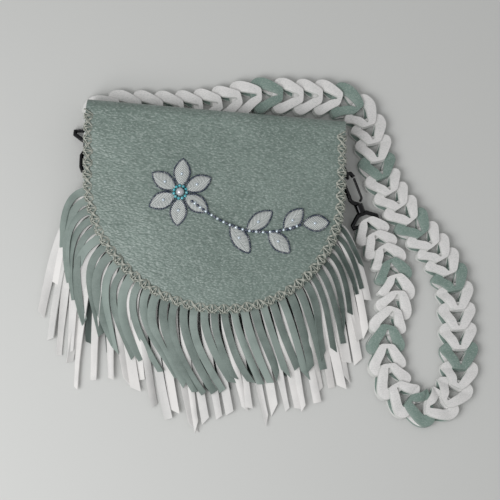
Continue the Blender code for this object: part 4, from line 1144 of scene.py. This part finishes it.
seeds = []
for root, heading, length, half in leaves:
    seeds += along_line(leaf_edge(root, heading, length, half), SEED_PITCH)
sew_beads("navy_seed_beads", seeds, SEED_RADIUS, navy_glass)
stem_line = [stem_point(0.10 + 0.88 * step / STEM_STEPS) for step in range(STEM_STEPS + 1)]
stem_places = along_line(stem_line, STEM_BEAD * STEM_BEAD_GAP)
sew_beads("stem_navy_beads", stem_places[0::2], STEM_BEAD, navy_glass)
sew_beads("stem_crystal_beads", stem_places[1::2], STEM_BEAD, crystal)
crown = [hub + toward(math.tau * k / CROWN_BEADS) * CROWN_RADIUS for k in range(CROWN_BEADS)]
sew_beads("turquoise_beads", crown, CROWN_BEAD, turquoise_glass)
sew_beads("centre_pearl", [hub], PEARL_RADIUS, pearl)
hearts = [root + toward(heading) * length * CRYSTAL_PLACE for root, heading, length, half in leaves]
sew_beads("heart_crystals", hearts, CRYSTAL_RADIUS, crystal)

# Floor, light and camera
# A pale sheet of paper, one large soft lamp and an even sky, seen from almost straight above.

AIM_Z = 0.025
LENS_MM = 100.0
CAMERA_DISTANCE = 1.3611
CAMERA_LEAN = math.radians(6)
CAMERA_ROLL = math.radians(5)
FLOOR_HALF = 3.0
FLOOR_Z = -0.0002
PAPER = "#D3D4D2"
LAMP_PLACE = (-0.62, -0.45, 0.85)
LAMP_SIZE = 0.8
LAMP_WATTS = 7.0
SKY_STRENGTH = 0.46

floor_mesh = bpy.data.meshes.new("paper_floor")
corners = [(x * FLOOR_HALF, y * FLOOR_HALF, FLOOR_Z) for x, y in ((-1, -1), (1, -1), (1, 1), (-1, 1))]
floor_mesh.from_pydata(corners, [], [(0, 1, 2, 3)])
floor = add_object("paper_floor", floor_mesh)
# Matt background paper: uncoated, so it is even and throws no glare.
paper, tree, shader = new_material("pale_grey_paper")
feed(tree, shader, {"Base Color": linear(PAPER), "Roughness": 0.9})
floor_mesh.materials.append(paper)
floor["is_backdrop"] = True

lamp_data = bpy.data.lights.new("soft_lamp", "AREA")
lamp_data.energy = LAMP_WATTS
lamp_data.size = LAMP_SIZE
lamp = add_object("soft_lamp", lamp_data)
lamp.location = LAMP_PLACE
lamp.rotation_euler = Vector(LAMP_PLACE).to_track_quat("Z", "Y").to_euler()

world = bpy.data.worlds.new("even_sky")
bpy.context.scene.world = world
world.use_nodes = True
sky = world.node_tree.nodes["Background"]
feed(world.node_tree, sky, {"Color": (1.0, 1.0, 1.0, 1.0), "Strength": SKY_STRENGTH})

camera_data = bpy.data.cameras.new("camera")
camera_data.lens = LENS_MM
camera_data.sensor_width = 36.0
camera = add_object("camera", camera_data)
back_x = math.sin(CAMERA_LEAN) * math.sin(CAMERA_ROLL)
back_y = -math.sin(CAMERA_LEAN) * math.cos(CAMERA_ROLL)
back_z = math.cos(CAMERA_LEAN)
camera.location = (CAMERA_DISTANCE * back_x - ORIGIN_X, CAMERA_DISTANCE * back_y - ORIGIN_Y,
                   CAMERA_DISTANCE * back_z + AIM_Z)
camera.rotation_euler = (CAMERA_LEAN, 0.0, CAMERA_ROLL)
bpy.context.scene.camera = camera
bpy.context.scene.view_settings.view_transform = "Standard"

low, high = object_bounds()
